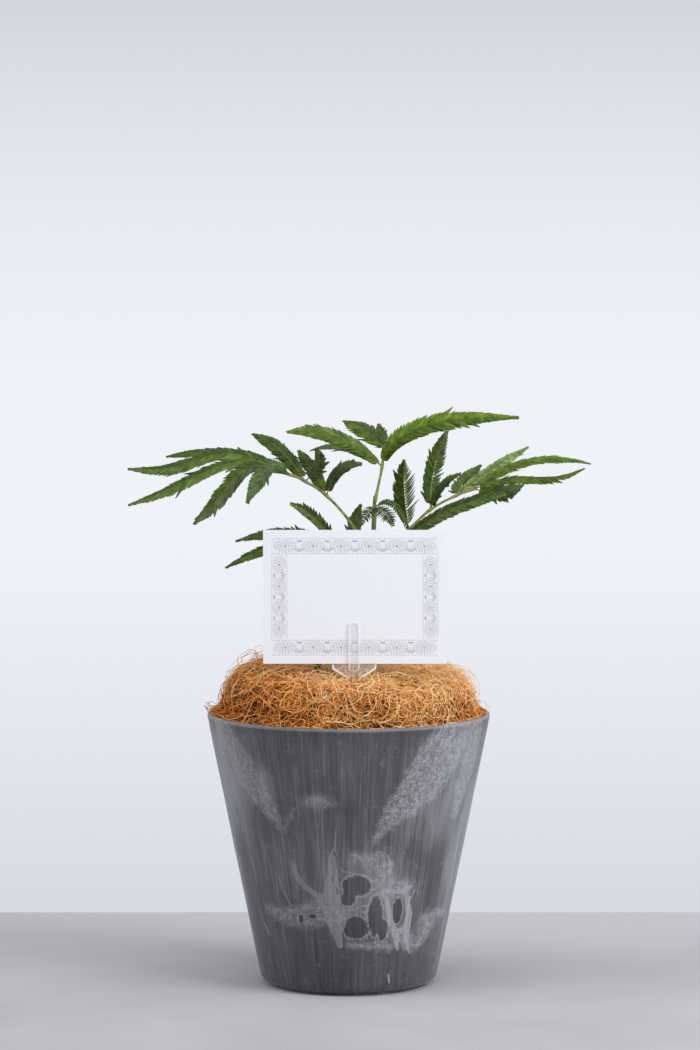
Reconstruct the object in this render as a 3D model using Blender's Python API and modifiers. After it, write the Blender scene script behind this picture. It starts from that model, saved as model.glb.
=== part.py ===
"""Potted everfresh tree.

A young tree with twice-divided leaves grows in a tapered stone-resin planter under a cushion of
coir mulch, with a message card held in a clear plastic pick in front of it.

Metres, +Z up, +X to the right, -Y towards the front. The origin is the centre of the planter's
underside, on the surface that it stands on.
"""

import math

import bmesh
import bpy
from mathutils import Vector, noise

MM = 0.001

# Clearance between two pieces that touch, and the distance at which points of one piece are welded
GAP = 0.3 * MM
WELD = 0.02 * MM

# Planter: a cone frustum with a rounded lip, a rounded base edge and an inset foot
POT_HEIGHT = 163 * MM
POT_RIM_RADIUS = 85 * MM
POT_BASE_RADIUS = 52 * MM
POT_WALL = 2.8 * MM
POT_FLOOR = 5 * MM
POT_CORNER_RADIUS = 4 * MM
FOOT_HEIGHT = 2.2 * MM
FOOT_INSET = 4.5 * MM
DRAIN_HOLE_RADIUS = 4.5 * MM
DRAIN_HOLE_CIRCLE = 22 * MM
DRAIN_HOLES = 5
ROUND_STEPS = 48

# Filling of the planter, from the floor up
NET_SIZE = 56 * MM
NET_CELLS = 5
NET_THICKNESS = 1.2 * MM
GRAVEL_TOP = 30 * MM
SOIL_TOP = 148 * MM
FILL_STEPS = 36

# Mulch: its outline above the rim, as radius and depth below the top, in millimetres; the height
# of its lumps, how many there are to a metre, and how far the front sags as a share of its height
MULCH_TOP = 189.5 * MM
MULCH_OUTLINE = [(28, 0.2), (48, 0.8), (60, 2.6), (67.5, 7), (71.5, 12.5), (75, 24.5)]
MULCH_LUMP = 2 * MM
MULCH_LUMPS_PER_METRE = 38
MULCH_FRONT_DIP = 0.35
MULCH_RIGHT_DIP = 0.09
MULCH_SMOOTH_BAND = 6 * MM

# Trunk: points up its middle with the radius there, in millimetres
TRUNK = [
    ((0, 2, 108), 3.4),
    ((0, 2, 146), 4.6),
    ((1, 2, 164), 4.2),
    ((5, 2, 194), 3.4),
    ((10, 1, 226), 2.7),
    ((14, 0, 254), 1.9),
    ((15, 0, 274), 1.35),
    ((15.6, 0, 285), 1.45),
    ((16, 0, 289), 0.9),
]

# Leaf stalks: radius at the trunk and at the last pair of pinnae, and the length and radius of the
# short stalk that carries each pinna
STALK_BASE_RADIUS = 0.95 * MM
STALK_END_RADIUS = 0.65 * MM
STALKLET_LENGTH = 4 * MM
STALKLET_RADIUS = 0.5 * MM

# Pinnae: thin serrated blades, with one tooth for each group of leaflet tips along an edge
BLADE_THICKNESS = 0.7 * MM
TOOTH_LENGTH = 8 * MM
NOTCH_DEPTH = 0.24
TOOTH_SWEEP = 0.55
BLADE_NECK = 0.55 * MM
BLADE_OPENING = 0.2
BLADE_CLOSING = 0.5
MIDRIB_STEPS = 24

# Leaves, in millimetres. A stalk leaves the middle of the trunk at its height and passes through
# its points. Each pinna has the number of the stalk point that carries it, counted from 1, the
# point in the middle of its midrib, its tip, its full width, and the tilt of its face in degrees,
# from 0 facing up to 90 facing the front.
LEAVES = {
    "left_leaf": {
        "height": 254,
        "stalk": [(1, -3, 277), (-13, -6, 293), (-26, -9, 302), (-35, -11, 306), (-44, -13, 308)],
        "pinnae": [
            (4, (-73, 11, 318), (-110, 28, 314.5), 12, 34),
            (5, (-88, -3, 315), (-132, 4, 308.5), 12, 34),
            (5, (-87, -22, 307.5), (-130, -26, 289), 12, 32),
            (5, (-68.5, -36, 303.5), (-90, -54, 280), 12, 40),
            (4, (-49, -38, 310), (-59, -60, 293), 11, 60),
            (3, (-41.5, 14, 319.5), (-58, 32, 328), 12, 38),
            (2, (-22, 12, 308), (-30, 28, 318), 10, 40),
            (3, (-18, -22, 312), (-19, -32, 322), 9, 80),
            (2, (-6, -22, 308.5), (7, -38, 314), 7.5, 75),
        ],
    },
    "top_leaf": {
        "height": 288,
        "stalk": [(18, 2, 300), (20, 4, 310), (21, 12, 320)],
        "pinnae": [
            (2, (-8, -6, 329), (-36, -16, 332), 15, 50),
            (2, (-2, 18, 321), (-23, 32, 318), 10, 30),
            (3, (9, 30, 330), (-3, 50, 335), 13, 34),
            (2, (43, -8, 334), (101, -12, 340), 14, 60),
            (3, (20, 38, 325), (18.5, 60, 332.5), 10, 50),
        ],
    },
    "right_leaf": {
        "height": 247.3,
        "stalk": [(26, 2, 261), (36, 4, 272), (49, 6, 284), (64, 9, 292), (75, 11, 296)],
        "pinnae": [
            (1, (62, -18, 286.5), (92, -37, 296), 12, 48),
            (2, (33, -4, 294.5), (33, -12, 314), 14, 80),
            (3, (51, 17, 307), (60, 30, 331), 12, 80),
            (3, (55, -10, 299), (65.5, -24, 307), 6, 60),
            (4, (70, 30, 300), (80, 48, 308), 13, 40),
            (4, (86, 32, 307), (109, 50, 319), 10, 34),
            (5, (92, -6, 295.5), (103, -30, 301), 14, 62),
            (5, (109, 24, 312), (146, 32, 310), 11, 26),
            (5, (108.5, 4, 302.5), (140, -4, 309), 11, 26),
        ],
    },
    "low_left_leaf": {
        "height": 232,
        "stalk": [(2, 9, 254), (-7, 14, 262), (-16, 17, 265)],
        "pinnae": [
            (3, (-44, 8, 262), (-73, -2, 250), 11, 30),
            (3, (-39, 26, 269), (-68, 34, 263), 12, 35),
            (2, (-20, 4, 279), (-34, -6, 288), 8, 75),
            (1, (3, 17, 271), (7, 22, 285), 10, 80),
        ],
    },
    "lowest_leaf": {
        "height": 208,
        "stalk": [(2, -5, 216), (-5, -12, 214)],
        "pinnae": [
            (2, (-12, -21, 206), (-16, -28, 194), 9, 60),
            (1, (10, -18, 212), (16, -28, 204), 9, 50),
        ],
    },
}

# Young leaf at the bud: pinnae that grow straight from the trunk's top
YOUNG_ROOT = (16, 0, 286)
YOUNG_PINNAE = [
    ((26, -12, 288.5), (34.5, -23, 275.5), 5, 50),
    ((22, -15, 283), (26, -26, 277), 8, 60),
    ((11, -13, 283), (7, -22, 277), 7, 60),
]
YOUNG_START = 3.2 * MM

# Message card, upright in front of the trunk
CARD_WIDTH = 108 * MM
CARD_HEIGHT = 79 * MM
CARD_THICKNESS = 0.4 * MM
CARD_CENTRE_X = 3.7 * MM
CARD_BOTTOM = 196.3 * MM
CARD_Y = -40 * MM

# Card pick: back plate and tongue on each side of the card, on one stake. The shoulder narrows the
# plate to the stake: share of the plate's half width, and height in millimetres.
PICK_X = 3.2 * MM
PLATE_THICKNESS = 1.4 * MM
PLATE_HALF_WIDTH = 13.2 * MM
PLATE_TOP = 228 * MM
STAKE_HALF_WIDTH = 1.9 * MM
STAKE_SHOULDER = 182 * MM
STAKE_TIP = 116 * MM
STAKE_POINT = 14 * MM
SHOULDER = [(1, 195), (0.85, 191.5), (0.42, 188), (0.21, 185)]
TONGUE_HALF_WIDTH = 3.2 * MM
TONGUE_ROOT = 191.5 * MM
TONGUE_TOP = 221 * MM
TONGUE_THICKNESS = 1.2 * MM
WEB_HALF_WIDTH = 2 * MM


# ---------------------------------------------------------------- scene and material helpers

def clear_scene():
    for old in list(bpy.data.objects):
        bpy.data.objects.remove(old, do_unlink=True)


def new_collection(name):
    collection = bpy.data.collections.new(name)
    bpy.context.scene.collection.children.link(collection)
    return collection


def principled(name, colour, roughness, transmission=0.0):
    material = bpy.data.materials.new(name)
    material.use_nodes = True
    shader = material.node_tree.nodes["Principled BSDF"]
    shader.inputs["Base Color"].default_value = (*colour, 1.0)
    shader.inputs["Roughness"].default_value = roughness
    shader.inputs["Metallic"].default_value = 0.0
    shader.inputs["Transmission Weight"].default_value = transmission
    return material


def add_object(name, data, collection, material=None):
    created = bpy.data.objects.new(name, data)
    collection.objects.link(created)
    if material:
        data.materials.append(material)
    return created


def move_to(piece, collection):
    for owner in list(piece.users_collection):
        owner.objects.unlink(piece)
    collection.objects.link(piece)


def smooth(piece, angle=40):
    piece.data.shade_smooth()
    piece.data.set_sharp_from_angle(angle=math.radians(angle))


def as_mesh(source, name, collection, material=None):
    """The evaluated shape of source as a welded mesh object, which takes its place."""
    evaluated = source.evaluated_get(bpy.context.evaluated_depsgraph_get())
    mesh = bpy.data.meshes.new_from_object(evaluated)
    placement = source.matrix_world.copy()
    bpy.data.objects.remove(source, do_unlink=True)
    welder = bmesh.new()
    welder.from_mesh(mesh)
    bmesh.ops.remove_doubles(welder, verts=welder.verts, dist=WELD)
    welder.to_mesh(mesh)
    welder.free()
    mesh.name = name
    mesh.materials.clear()
    solid = add_object(name, mesh, collection, material)
    solid.matrix_world = placement
    return solid


def boolean(piece, cutter, operation):
    step = piece.modifiers.new(operation.lower(), "BOOLEAN")
    step.operation = operation
    step.object = cutter
    step.solver = "EXACT"
    cutter.hide_render = True
    cutter.display_type = "WIRE"


def turned(name, profile, steps, collection, material=None):
    """A solid of revolution; the profile runs from the axis, down the outer side, to the axis."""
    mesh = bpy.data.meshes.new(name)
    corners = [(radius, 0, height) for radius, height in profile]
    mesh.from_pydata(corners, [(i, i + 1) for i in range(len(corners) - 1)], [])
    solid = add_object(name, mesh, collection, material)
    spin = solid.modifiers.new("spin", "SCREW")
    spin.axis = "Z"
    spin.steps = steps
    spin.render_steps = steps
    spin.use_merge_vertices = True
    spin.merge_threshold = WELD
    bpy.context.view_layer.update()
    return as_mesh(solid, name, collection, material)


def tube(name, points, radii, collection, material=None, resolution=2):
    """A round rod along the points, with its own radius at each, as a closed mesh."""
    curve = bpy.data.curves.new(name, "CURVE")
    curve.dimensions = "3D"
    curve.bevel_depth = 1.0
    curve.bevel_resolution = resolution
    curve.use_fill_caps = True
    spline = curve.splines.new("POLY")
    spline.points.add(len(points) - 1)
    for control, point, radius in zip(spline.points, points, radii):
        control.co = (*point, 1.0)
        control.radius = radius
    rod = add_object(name, curve, collection)
    bpy.context.view_layer.update()
    return as_mesh(rod, name, collection, material)


def flat_shape(name, outline, thickness, front_y, collection, material=None):
    """A flat plate upright in the XZ plane, its front face at front_y."""
    curve = bpy.data.curves.new(name, "CURVE")
    curve.dimensions = "2D"
    curve.fill_mode = "BOTH"
    curve.extrude = thickness / 2
    spline = curve.splines.new("POLY")
    spline.points.add(len(outline) - 1)
    spline.use_cyclic_u = True
    for control, (across, height) in zip(spline.points, outline):
        control.co = (across, height, 0.0, 1.0)
    plate = add_object(name, curve, collection)
    plate.rotation_euler = (math.radians(90), 0, 0)
    plate.location = (0, front_y + thickness / 2, 0)
    bpy.context.view_layer.update()
    return as_mesh(plate, name, collection, material)


# ---------------------------------------------------------------- geometry helpers

def arc(centre, radius, start, end, steps):
    """Points of an arc in a profile, angles in degrees from +X."""
    points = []
    for i in range(steps + 1):
        angle = math.radians(start + (end - start) * i / steps)
        points.append((centre[0] + radius * math.cos(angle), centre[1] + radius * math.sin(angle)))
    return points


def metres(point):
    return Vector(point) * MM


def bend(root, middle, tip, t):
    """Point of the parabola that starts at root, passes middle half way and ends at tip."""
    pull = 2 * middle - (root + tip) / 2
    return (1 - t) ** 2 * root + 2 * t * (1 - t) * pull + t ** 2 * tip


def midrib_length(root, middle, tip):
    marks = [bend(root, middle, tip, i / MIDRIB_STEPS) for i in range(MIDRIB_STEPS + 1)]
    return sum((b - a).length for a, b in zip(marks, marks[1:]))


# ---------------------------------------------------------------- planter and its filling

def pot_outer_radius(height):
    return POT_BASE_RADIUS + (POT_RIM_RADIUS - POT_BASE_RADIUS) * height / POT_HEIGHT


def pot_inner_radius(height):
    return pot_outer_radius(height) - POT_WALL


def make_pot(parts, cutters, material):
    floor_top = FOOT_HEIGHT + POT_FLOOR
    lip = POT_WALL / 2
    foot_radius = pot_outer_radius(FOOT_HEIGHT) - FOOT_INSET
    slope = math.atan((POT_RIM_RADIUS - POT_BASE_RADIUS) / POT_HEIGHT)
    lean = math.degrees(slope)
    inset = POT_CORNER_RADIUS / math.cos(slope)
    inside_height = floor_top + POT_CORNER_RADIUS
    inside_centre = (pot_inner_radius(inside_height) - inset, inside_height)
    outside_height = FOOT_HEIGHT + POT_CORNER_RADIUS
    outside_centre = (pot_outer_radius(outside_height) - inset, outside_height)
    profile = [(0, floor_top)]
    profile += arc(inside_centre, POT_CORNER_RADIUS, -90, -lean, 3)
    profile += arc((POT_RIM_RADIUS - lip, POT_HEIGHT - lip), lip, 180 - lean, 0, 5)
    profile += arc(outside_centre, POT_CORNER_RADIUS, -lean, -90, 4)
    profile += [(foot_radius, FOOT_HEIGHT), (foot_radius, 0), (0, 0)]
    pot = turned("pot", profile, ROUND_STEPS, parts, material)
    for i in range(DRAIN_HOLES):
        angle = 2 * math.pi * i / DRAIN_HOLES
        place = (DRAIN_HOLE_CIRCLE * math.cos(angle), DRAIN_HOLE_CIRCLE * math.sin(angle), floor_top / 2)
        bpy.ops.mesh.primitive_cylinder_add(
            vertices=16, radius=DRAIN_HOLE_RADIUS, depth=3 * floor_top, location=place
        )
        drill = bpy.context.object
        drill.name = f"drain_drill_{i + 1}"
        move_to(drill, cutters)
        boolean(pot, drill, "DIFFERENCE")
    smooth(pot)


def make_drain_net(parts, material):
    """A square plastic net over the drain holes: a grid of bars."""
    mesh = bpy.data.meshes.new("drain_net")
    grid = bmesh.new()
    bmesh.ops.create_grid(grid, x_segments=NET_CELLS, y_segments=NET_CELLS, size=NET_SIZE / 2)
    grid.to_mesh(mesh)
    grid.free()
    net = add_object("drain_net", mesh, parts, material)
    net.location.z = FOOT_HEIGHT + POT_FLOOR + GAP + NET_THICKNESS / 2
    bars = net.modifiers.new("bars", "WIREFRAME")
    bars.thickness = NET_THICKNESS
    bars.use_boundary = True
    bars.use_replace = True
    bars.use_even_offset = False


def make_filling(parts, gravel_material, soil_material):
    """The bed of drainage gravel and the soil with its root ball, up to below the mulch."""
    bed = FOOT_HEIGHT + POT_FLOOR + NET_THICKNESS + 3 * GAP
    gravel_profile = [
        (0, GRAVEL_TOP),
        (pot_inner_radius(GRAVEL_TOP) - 2 * GAP, GRAVEL_TOP),
        (pot_inner_radius(bed + POT_CORNER_RADIUS) - 2 * GAP, bed + POT_CORNER_RADIUS),
        (pot_inner_radius(bed) - POT_CORNER_RADIUS / 2, bed),
        (0, bed),
    ]
    smooth(turned("drainage_gravel", gravel_profile, FILL_STEPS, parts, gravel_material))
    soil_bottom = GRAVEL_TOP + GAP
    soil_profile = [
        (0, SOIL_TOP),
        (pot_inner_radius(SOIL_TOP) - 2 * GAP, SOIL_TOP),
        (pot_inner_radius(soil_bottom) - 2 * GAP, soil_bottom),
        (0, soil_bottom),
    ]
    soil = turned("potting_soil", soil_profile, FILL_STEPS, parts, soil_material)
    smooth(soil)
    return soil


def make_mulch(parts, material):
    """A springy cushion of coir proud of the rim, uneven and lower at the front and on the right."""
    bottom = SOIL_TOP + GAP
    below_lip = POT_HEIGHT - POT_WALL
    profile = [(0, MULCH_TOP)]
    profile += [(radius * MM, MULCH_TOP - depth * MM) for radius, depth in MULCH_OUTLINE]
    profile += [
        (pot_inner_radius(below_lip) - 2 * GAP, below_lip),
        (pot_inner_radius(bottom) - 2 * GAP, bottom),
        (0, bottom),
    ]
    mulch = turned("coir_mulch", profile, FILL_STEPS, parts, material)
    for vertex in mulch.data.vertices:
        rise = vertex.co.z - POT_HEIGHT
        if rise > 0:
            outward = Vector((vertex.co.x, vertex.co.y, rise)).normalized()
            lump = noise.noise(vertex.co * MULCH_LUMPS_PER_METRE) * min(1, rise / MULCH_SMOOTH_BAND)
            towards_front = max(0, -vertex.co.y) / pot_inner_radius(POT_HEIGHT)
            towards_right = vertex.co.x / pot_inner_radius(POT_HEIGHT)
            vertex.co += outward * lump * MULCH_LUMP
            vertex.co.z -= rise * (MULCH_FRONT_DIP * towards_front + MULCH_RIGHT_DIP * towards_right)
    smooth(mulch, 60)
    return mulch


# ---------------------------------------------------------------- tree

def trunk_axis(height):
    """The middle of the trunk at a height, in millimetres."""
    for (low, _), (high, _) in zip(TRUNK, TRUNK[1:]):
        if height <= high[2]:
            return Vector(low).lerp(Vector(high), (height - low[2]) / (high[2] - low[2]))
    return Vector(TRUNK[-1][0])


def stalk_points(leaf):
    return [metres(trunk_axis(leaf["height"]))] + [metres(point) for point in leaf["stalk"]]


def trunk_rod(name, extra, collection, material=None):
    points = [metres(point) for point, radius in TRUNK]
    points[0].z -= extra
    points[-1].z += extra
    radii = [radius * MM + extra for point, radius in TRUNK]
    return tube(name, points, radii, collection, material)


def stalk_rod(name, points, collection, material):
    last = len(points) - 1
    taper = (STALK_END_RADIUS - STALK_BASE_RADIUS) / last
    radii = [STALK_BASE_RADIUS + taper * i for i in range(last + 1)]
    return tube(name, points, radii, collection, material)


def make_stalk(name, leaf, parts, cutters, trunk_clearance, material):
    """A leaf's stalk with the short side stalks of its pinnae, as one solid off the trunk."""
    points = stalk_points(leaf)
    rod = stalk_rod(f"{name}_stalk", points, parts, material)
    for number, (carrier, middle, tip, _, _) in enumerate(leaf["pinnae"], start=1):
        root = points[carrier]
        reach = STALKLET_LENGTH / midrib_length(root, metres(middle), metres(tip))
        ends = [bend(root, metres(middle), metres(tip), reach * share) for share in (0, 0.5, 1)]
        stalklet = tube(f"{name}_stalklet_{number}", ends, [STALKLET_RADIUS] * 3, cutters, resolution=1)
        boolean(rod, stalklet, "UNION")
    boolean(rod, trunk_clearance, "DIFFERENCE")


def half_width(share, width):
    """Half the blade's width at a share of its length: a neck, a full middle, a pointed tip."""
    opening = min(1.0, share / BLADE_OPENING)
    closing = min(1.0, (1.0 - share) / BLADE_CLOSING)
    fullness = math.sin(opening * math.pi / 2) * math.sin(closing * math.pi / 2)
    return BLADE_NECK + (width / 2 - BLADE_NECK) * fullness


def make_pinna(name, root, middle, tip, width, tilt, start, parts, material):
    """A thin serrated blade along the midrib, from start (metres along it) to the tip."""
    length = midrib_length(root, middle, tip)
    teeth = max(4, round(length / TOOTH_LENGTH))
    columns = 2 * teeth
    first = start / length
    mesh = bpy.data.meshes.new(name)
    grid = bmesh.new()
    bmesh.ops.create_grid(grid, x_segments=columns, y_segments=2, size=1)
    facing = Vector((0, -math.sin(math.radians(tilt)), math.cos(math.radians(tilt))))
    for vertex in grid.verts:
        share = (vertex.co.x + 1) / 2
        side = round(vertex.co.y)
        column = round(share * columns)
        t = first + (1 - first) * share
        point = bend(root, middle, tip, t)
        step = 1 / MIDRIB_STEPS
        along = (bend(root, middle, tip, t + step) - bend(root, middle, tip, t - step)).normalized()
        across = facing.cross(along).normalized()
        reach = half_width(share, width * MM)
        is_tooth = column % 2 == 1
        if side:
            reach *= 1.0 if is_tooth else 1.0 - NOTCH_DEPTH
            if is_tooth:
                point = point + along * (1 - first) * length / columns * TOOTH_SWEEP
        vertex.co = point + across * side * reach
    grid.to_mesh(mesh)
    grid.free()
    blade = add_object(name, mesh, parts, material)
    skin = blade.modifiers.new("thickness", "SOLIDIFY")
    skin.thickness = BLADE_THICKNESS
    skin.offset = 0
    smooth(blade, 60)


def make_leaf(name, leaf, parts, cutters, trunk_clearance, stalk_material, blade_material):
    make_stalk(name, leaf, parts, cutters, trunk_clearance, stalk_material)
    for number, (carrier, middle, tip, width, tilt) in enumerate(leaf["pinnae"], start=1):
        blade = f"{name}_pinna_{number}"
        root = stalk_points(leaf)[carrier]
        start = STALKLET_LENGTH + GAP
        make_pinna(blade, root, metres(middle), metres(tip), width, tilt, start, parts, blade_material)


def make_tree(parts, cutters, bark, green, leaf_green):
    trunk = trunk_rod("trunk", 0, parts, bark)
    smooth(trunk, 60)
    clearance = trunk_rod("trunk_clearance", GAP, cutters)
    for name, leaf in LEAVES.items():
        make_leaf(name, leaf, parts, cutters, clearance, green, leaf_green)
    for number, (middle, tip, width, tilt) in enumerate(YOUNG_PINNAE, start=1):
        name = f"young_leaf_pinna_{number}"
        root = metres(YOUNG_ROOT)
        make_pinna(name, root, metres(middle), metres(tip), width, tilt, YOUNG_START, parts, leaf_green)
    return clearance


# ---------------------------------------------------------------- card and pick

def make_card(parts, material):
    centre = (CARD_CENTRE_X, CARD_Y, CARD_BOTTOM + CARD_HEIGHT / 2)
    bpy.ops.mesh.primitive_cube_add(size=1, location=centre)
    card = bpy.context.object
    card.name = "message_card"
    card.scale = (CARD_WIDTH, CARD_THICKNESS, CARD_HEIGHT)
    move_to(card, parts)
    card.data.materials.append(material)


def mirrored(right):
    """A closed outline about the pick's centre line, from its right half, top to bottom."""
    left = [(-x, z) for x, z in reversed(right) if x > 0]
    return [(PICK_X + x, z) for x, z in right + left]


def plate_outline():
    """The shield-shaped back plate, its shoulders and the pointed stake below them."""
    dome_base = PLATE_TOP - PLATE_HALF_WIDTH
    right = [(0, PLATE_TOP)] + arc((0, dome_base), PLATE_HALF_WIDTH, 75, 0, 5)
    right += [(PLATE_HALF_WIDTH * share, height * MM) for share, height in SHOULDER]
    right += [(STAKE_HALF_WIDTH, STAKE_SHOULDER), (STAKE_HALF_WIDTH, STAKE_TIP + STAKE_POINT)]
    right += [(0, STAKE_TIP)]
    return mirrored(right)


def tongue_outline(bottom):
    dome_base = TONGUE_TOP - TONGUE_HALF_WIDTH
    top = arc((0, dome_base), TONGUE_HALF_WIDTH, 180, 0, 8)
    foot = arc((0, bottom + TONGUE_HALF_WIDTH), TONGUE_HALF_WIDTH, 0, -180, 6)
    return [(PICK_X + x, z) for x, z in top + foot]


def make_pick(parts, cutters, material):
    slot_front = CARD_Y - CARD_THICKNESS / 2 - GAP
    slot_back = CARD_Y + CARD_THICKNESS / 2 + GAP
    pick = flat_shape("card_pick", plate_outline(), PLATE_THICKNESS, slot_back, parts, material)
    front = slot_front - TONGUE_THICKNESS
    tongue = flat_shape("pick_tongue", tongue_outline(TONGUE_ROOT), TONGUE_THICKNESS, front, cutters)
    boolean(pick, tongue, "UNION")
    web_top = CARD_BOTTOM - GAP
    web_bottom = TONGUE_ROOT + 1 * MM
    web_outline = mirrored([(WEB_HALF_WIDTH, web_top), (WEB_HALF_WIDTH, web_bottom)])
    depth = slot_back - slot_front + TONGUE_THICKNESS
    web = flat_shape("pick_web", web_outline, depth, slot_front - TONGUE_THICKNESS / 2, cutters)
    boolean(pick, web, "UNION")


def make_stake_clearance(cutters):
    """The hole that the stake and its shoulders make in the mulch and the soil."""
    half = STAKE_HALF_WIDTH + GAP
    right = [(0, PLATE_TOP)]
    right += [(PLATE_HALF_WIDTH * share + 2 * GAP, height * MM - GAP) for share, height in SHOULDER]
    right += [(half, STAKE_SHOULDER - GAP), (half, STAKE_TIP - GAP)]
    slot_back = CARD_Y + CARD_THICKNESS / 2 + GAP
    thickness = PLATE_THICKNESS + 2 * GAP
    return flat_shape("stake_clearance", mirrored(right), thickness, slot_back - GAP, cutters)


# ---------------------------------------------------------------- assembly

clear_scene()
parts = new_collection("potted_everfresh_tree")
cutters = new_collection("cutters")

stone_resin = principled("stone_resin", (0.12, 0.13, 0.14), 0.75)
black_plastic = principled("black_plastic", (0.03, 0.03, 0.03), 0.6)
pumice = principled("pumice", (0.55, 0.50, 0.43), 0.95)
soil_brown = principled("soil_brown", (0.07, 0.045, 0.03), 0.95)
coir = principled("coir", (0.55, 0.27, 0.09), 0.85)
bark = principled("bark", (0.16, 0.11, 0.06), 0.8)
stalk_green = principled("stalk_green", (0.22, 0.28, 0.07), 0.55)
leaf_green = principled("leaf_green", (0.07, 0.18, 0.04), 0.5)
card_white = principled("card_white", (0.85, 0.86, 0.88), 0.6)
clear_plastic = principled("clear_plastic", (0.9, 0.92, 0.95), 0.08, transmission=1.0)

make_pot(parts, cutters, stone_resin)
make_drain_net(parts, black_plastic)
soil = make_filling(parts, pumice, soil_brown)
mulch = make_mulch(parts, coir)
trunk_clearance = make_tree(parts, cutters, bark, stalk_green, leaf_green)
stake_clearance = make_stake_clearance(cutters)
for bed in (soil, mulch):
    boolean(bed, trunk_clearance, "DIFFERENCE")
    boolean(bed, stake_clearance, "DIFFERENCE")
make_card(parts, card_white)
make_pick(parts, cutters, clear_plastic)
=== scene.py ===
"""Potted everfresh tree: the finish of every piece, in the order in which it is put together.

Metres, +Z up, -Y towards the front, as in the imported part.
"""

import math
import random

import bmesh
import bpy
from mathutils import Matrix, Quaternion, Vector, noise
from mathutils.bvhtree import BVHTree


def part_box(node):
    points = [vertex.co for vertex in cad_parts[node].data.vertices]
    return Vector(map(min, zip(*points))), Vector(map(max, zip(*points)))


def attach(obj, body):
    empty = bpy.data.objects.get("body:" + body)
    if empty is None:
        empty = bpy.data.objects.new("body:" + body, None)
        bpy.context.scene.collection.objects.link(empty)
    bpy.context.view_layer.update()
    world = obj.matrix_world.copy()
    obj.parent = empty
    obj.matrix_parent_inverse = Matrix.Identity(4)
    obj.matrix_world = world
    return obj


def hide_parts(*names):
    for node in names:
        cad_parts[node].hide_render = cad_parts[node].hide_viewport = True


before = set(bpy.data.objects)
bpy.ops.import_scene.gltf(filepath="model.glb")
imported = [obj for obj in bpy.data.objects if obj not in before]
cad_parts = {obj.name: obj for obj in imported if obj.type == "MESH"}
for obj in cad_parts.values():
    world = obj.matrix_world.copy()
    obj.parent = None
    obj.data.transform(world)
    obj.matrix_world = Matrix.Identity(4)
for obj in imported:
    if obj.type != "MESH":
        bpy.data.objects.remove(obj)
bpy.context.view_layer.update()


# ------------------------------------------------------------------------------- planter
# One tapered shell of stone-filled resin, cast in a turned mould: matt charcoal, with drag marks
# from top to bottom and paler marbling where the stone paste ran together. The lip is rounded over
# to the outside and painted paler along its top as a highlight, and the floor has five drain holes.
# The colour also holds painted light: sheen down both edges, paler and bluer towards the right,
# and painted shade towards the base and just under the lip.

MM = 0.001
pot_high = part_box("pot")[1]
POT_HEIGHT = pot_high.z
RIM_RADIUS = pot_high.x
BASE_RADIUS = 52 * MM
WALL = 2.8 * MM
FLOOR_TOP = 7.2 * MM
FOOT_HEIGHT = 2.2 * MM
FOOT_INSET = 4.5 * MM
BASE_CORNER = 4 * MM
LIP_OUTER = 1.7 * MM
LIP_INNER = 0.8 * MM
NECK_DEPTH = 0.18 * MM
NECK_BELOW_RIM = 5 * MM
NECK_REACH = 2.0 * MM
WALL_LEAN = (RIM_RADIUS - BASE_RADIUS) / POT_HEIGHT
UNEVENNESS = 0.15 * MM
UNEVEN_SCALE = 30
EVEN_BELOW_RIM = 8 * MM
POT_STEPS = 480
WALL_RING = 1.25 * MM
FLOOR_RING = 10 * MM
PLAIN_RING = 12 * MM
WELD = 0.01 * MM
POT_SHARP_FROM = math.radians(50)
DRAIN_HOLE_RADIUS = 4.5 * MM
DRAIN_HOLE_CIRCLE = 22 * MM
DRAIN_HOLES = 5
DRAIN_HOLE_SIDES = 40

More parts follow.
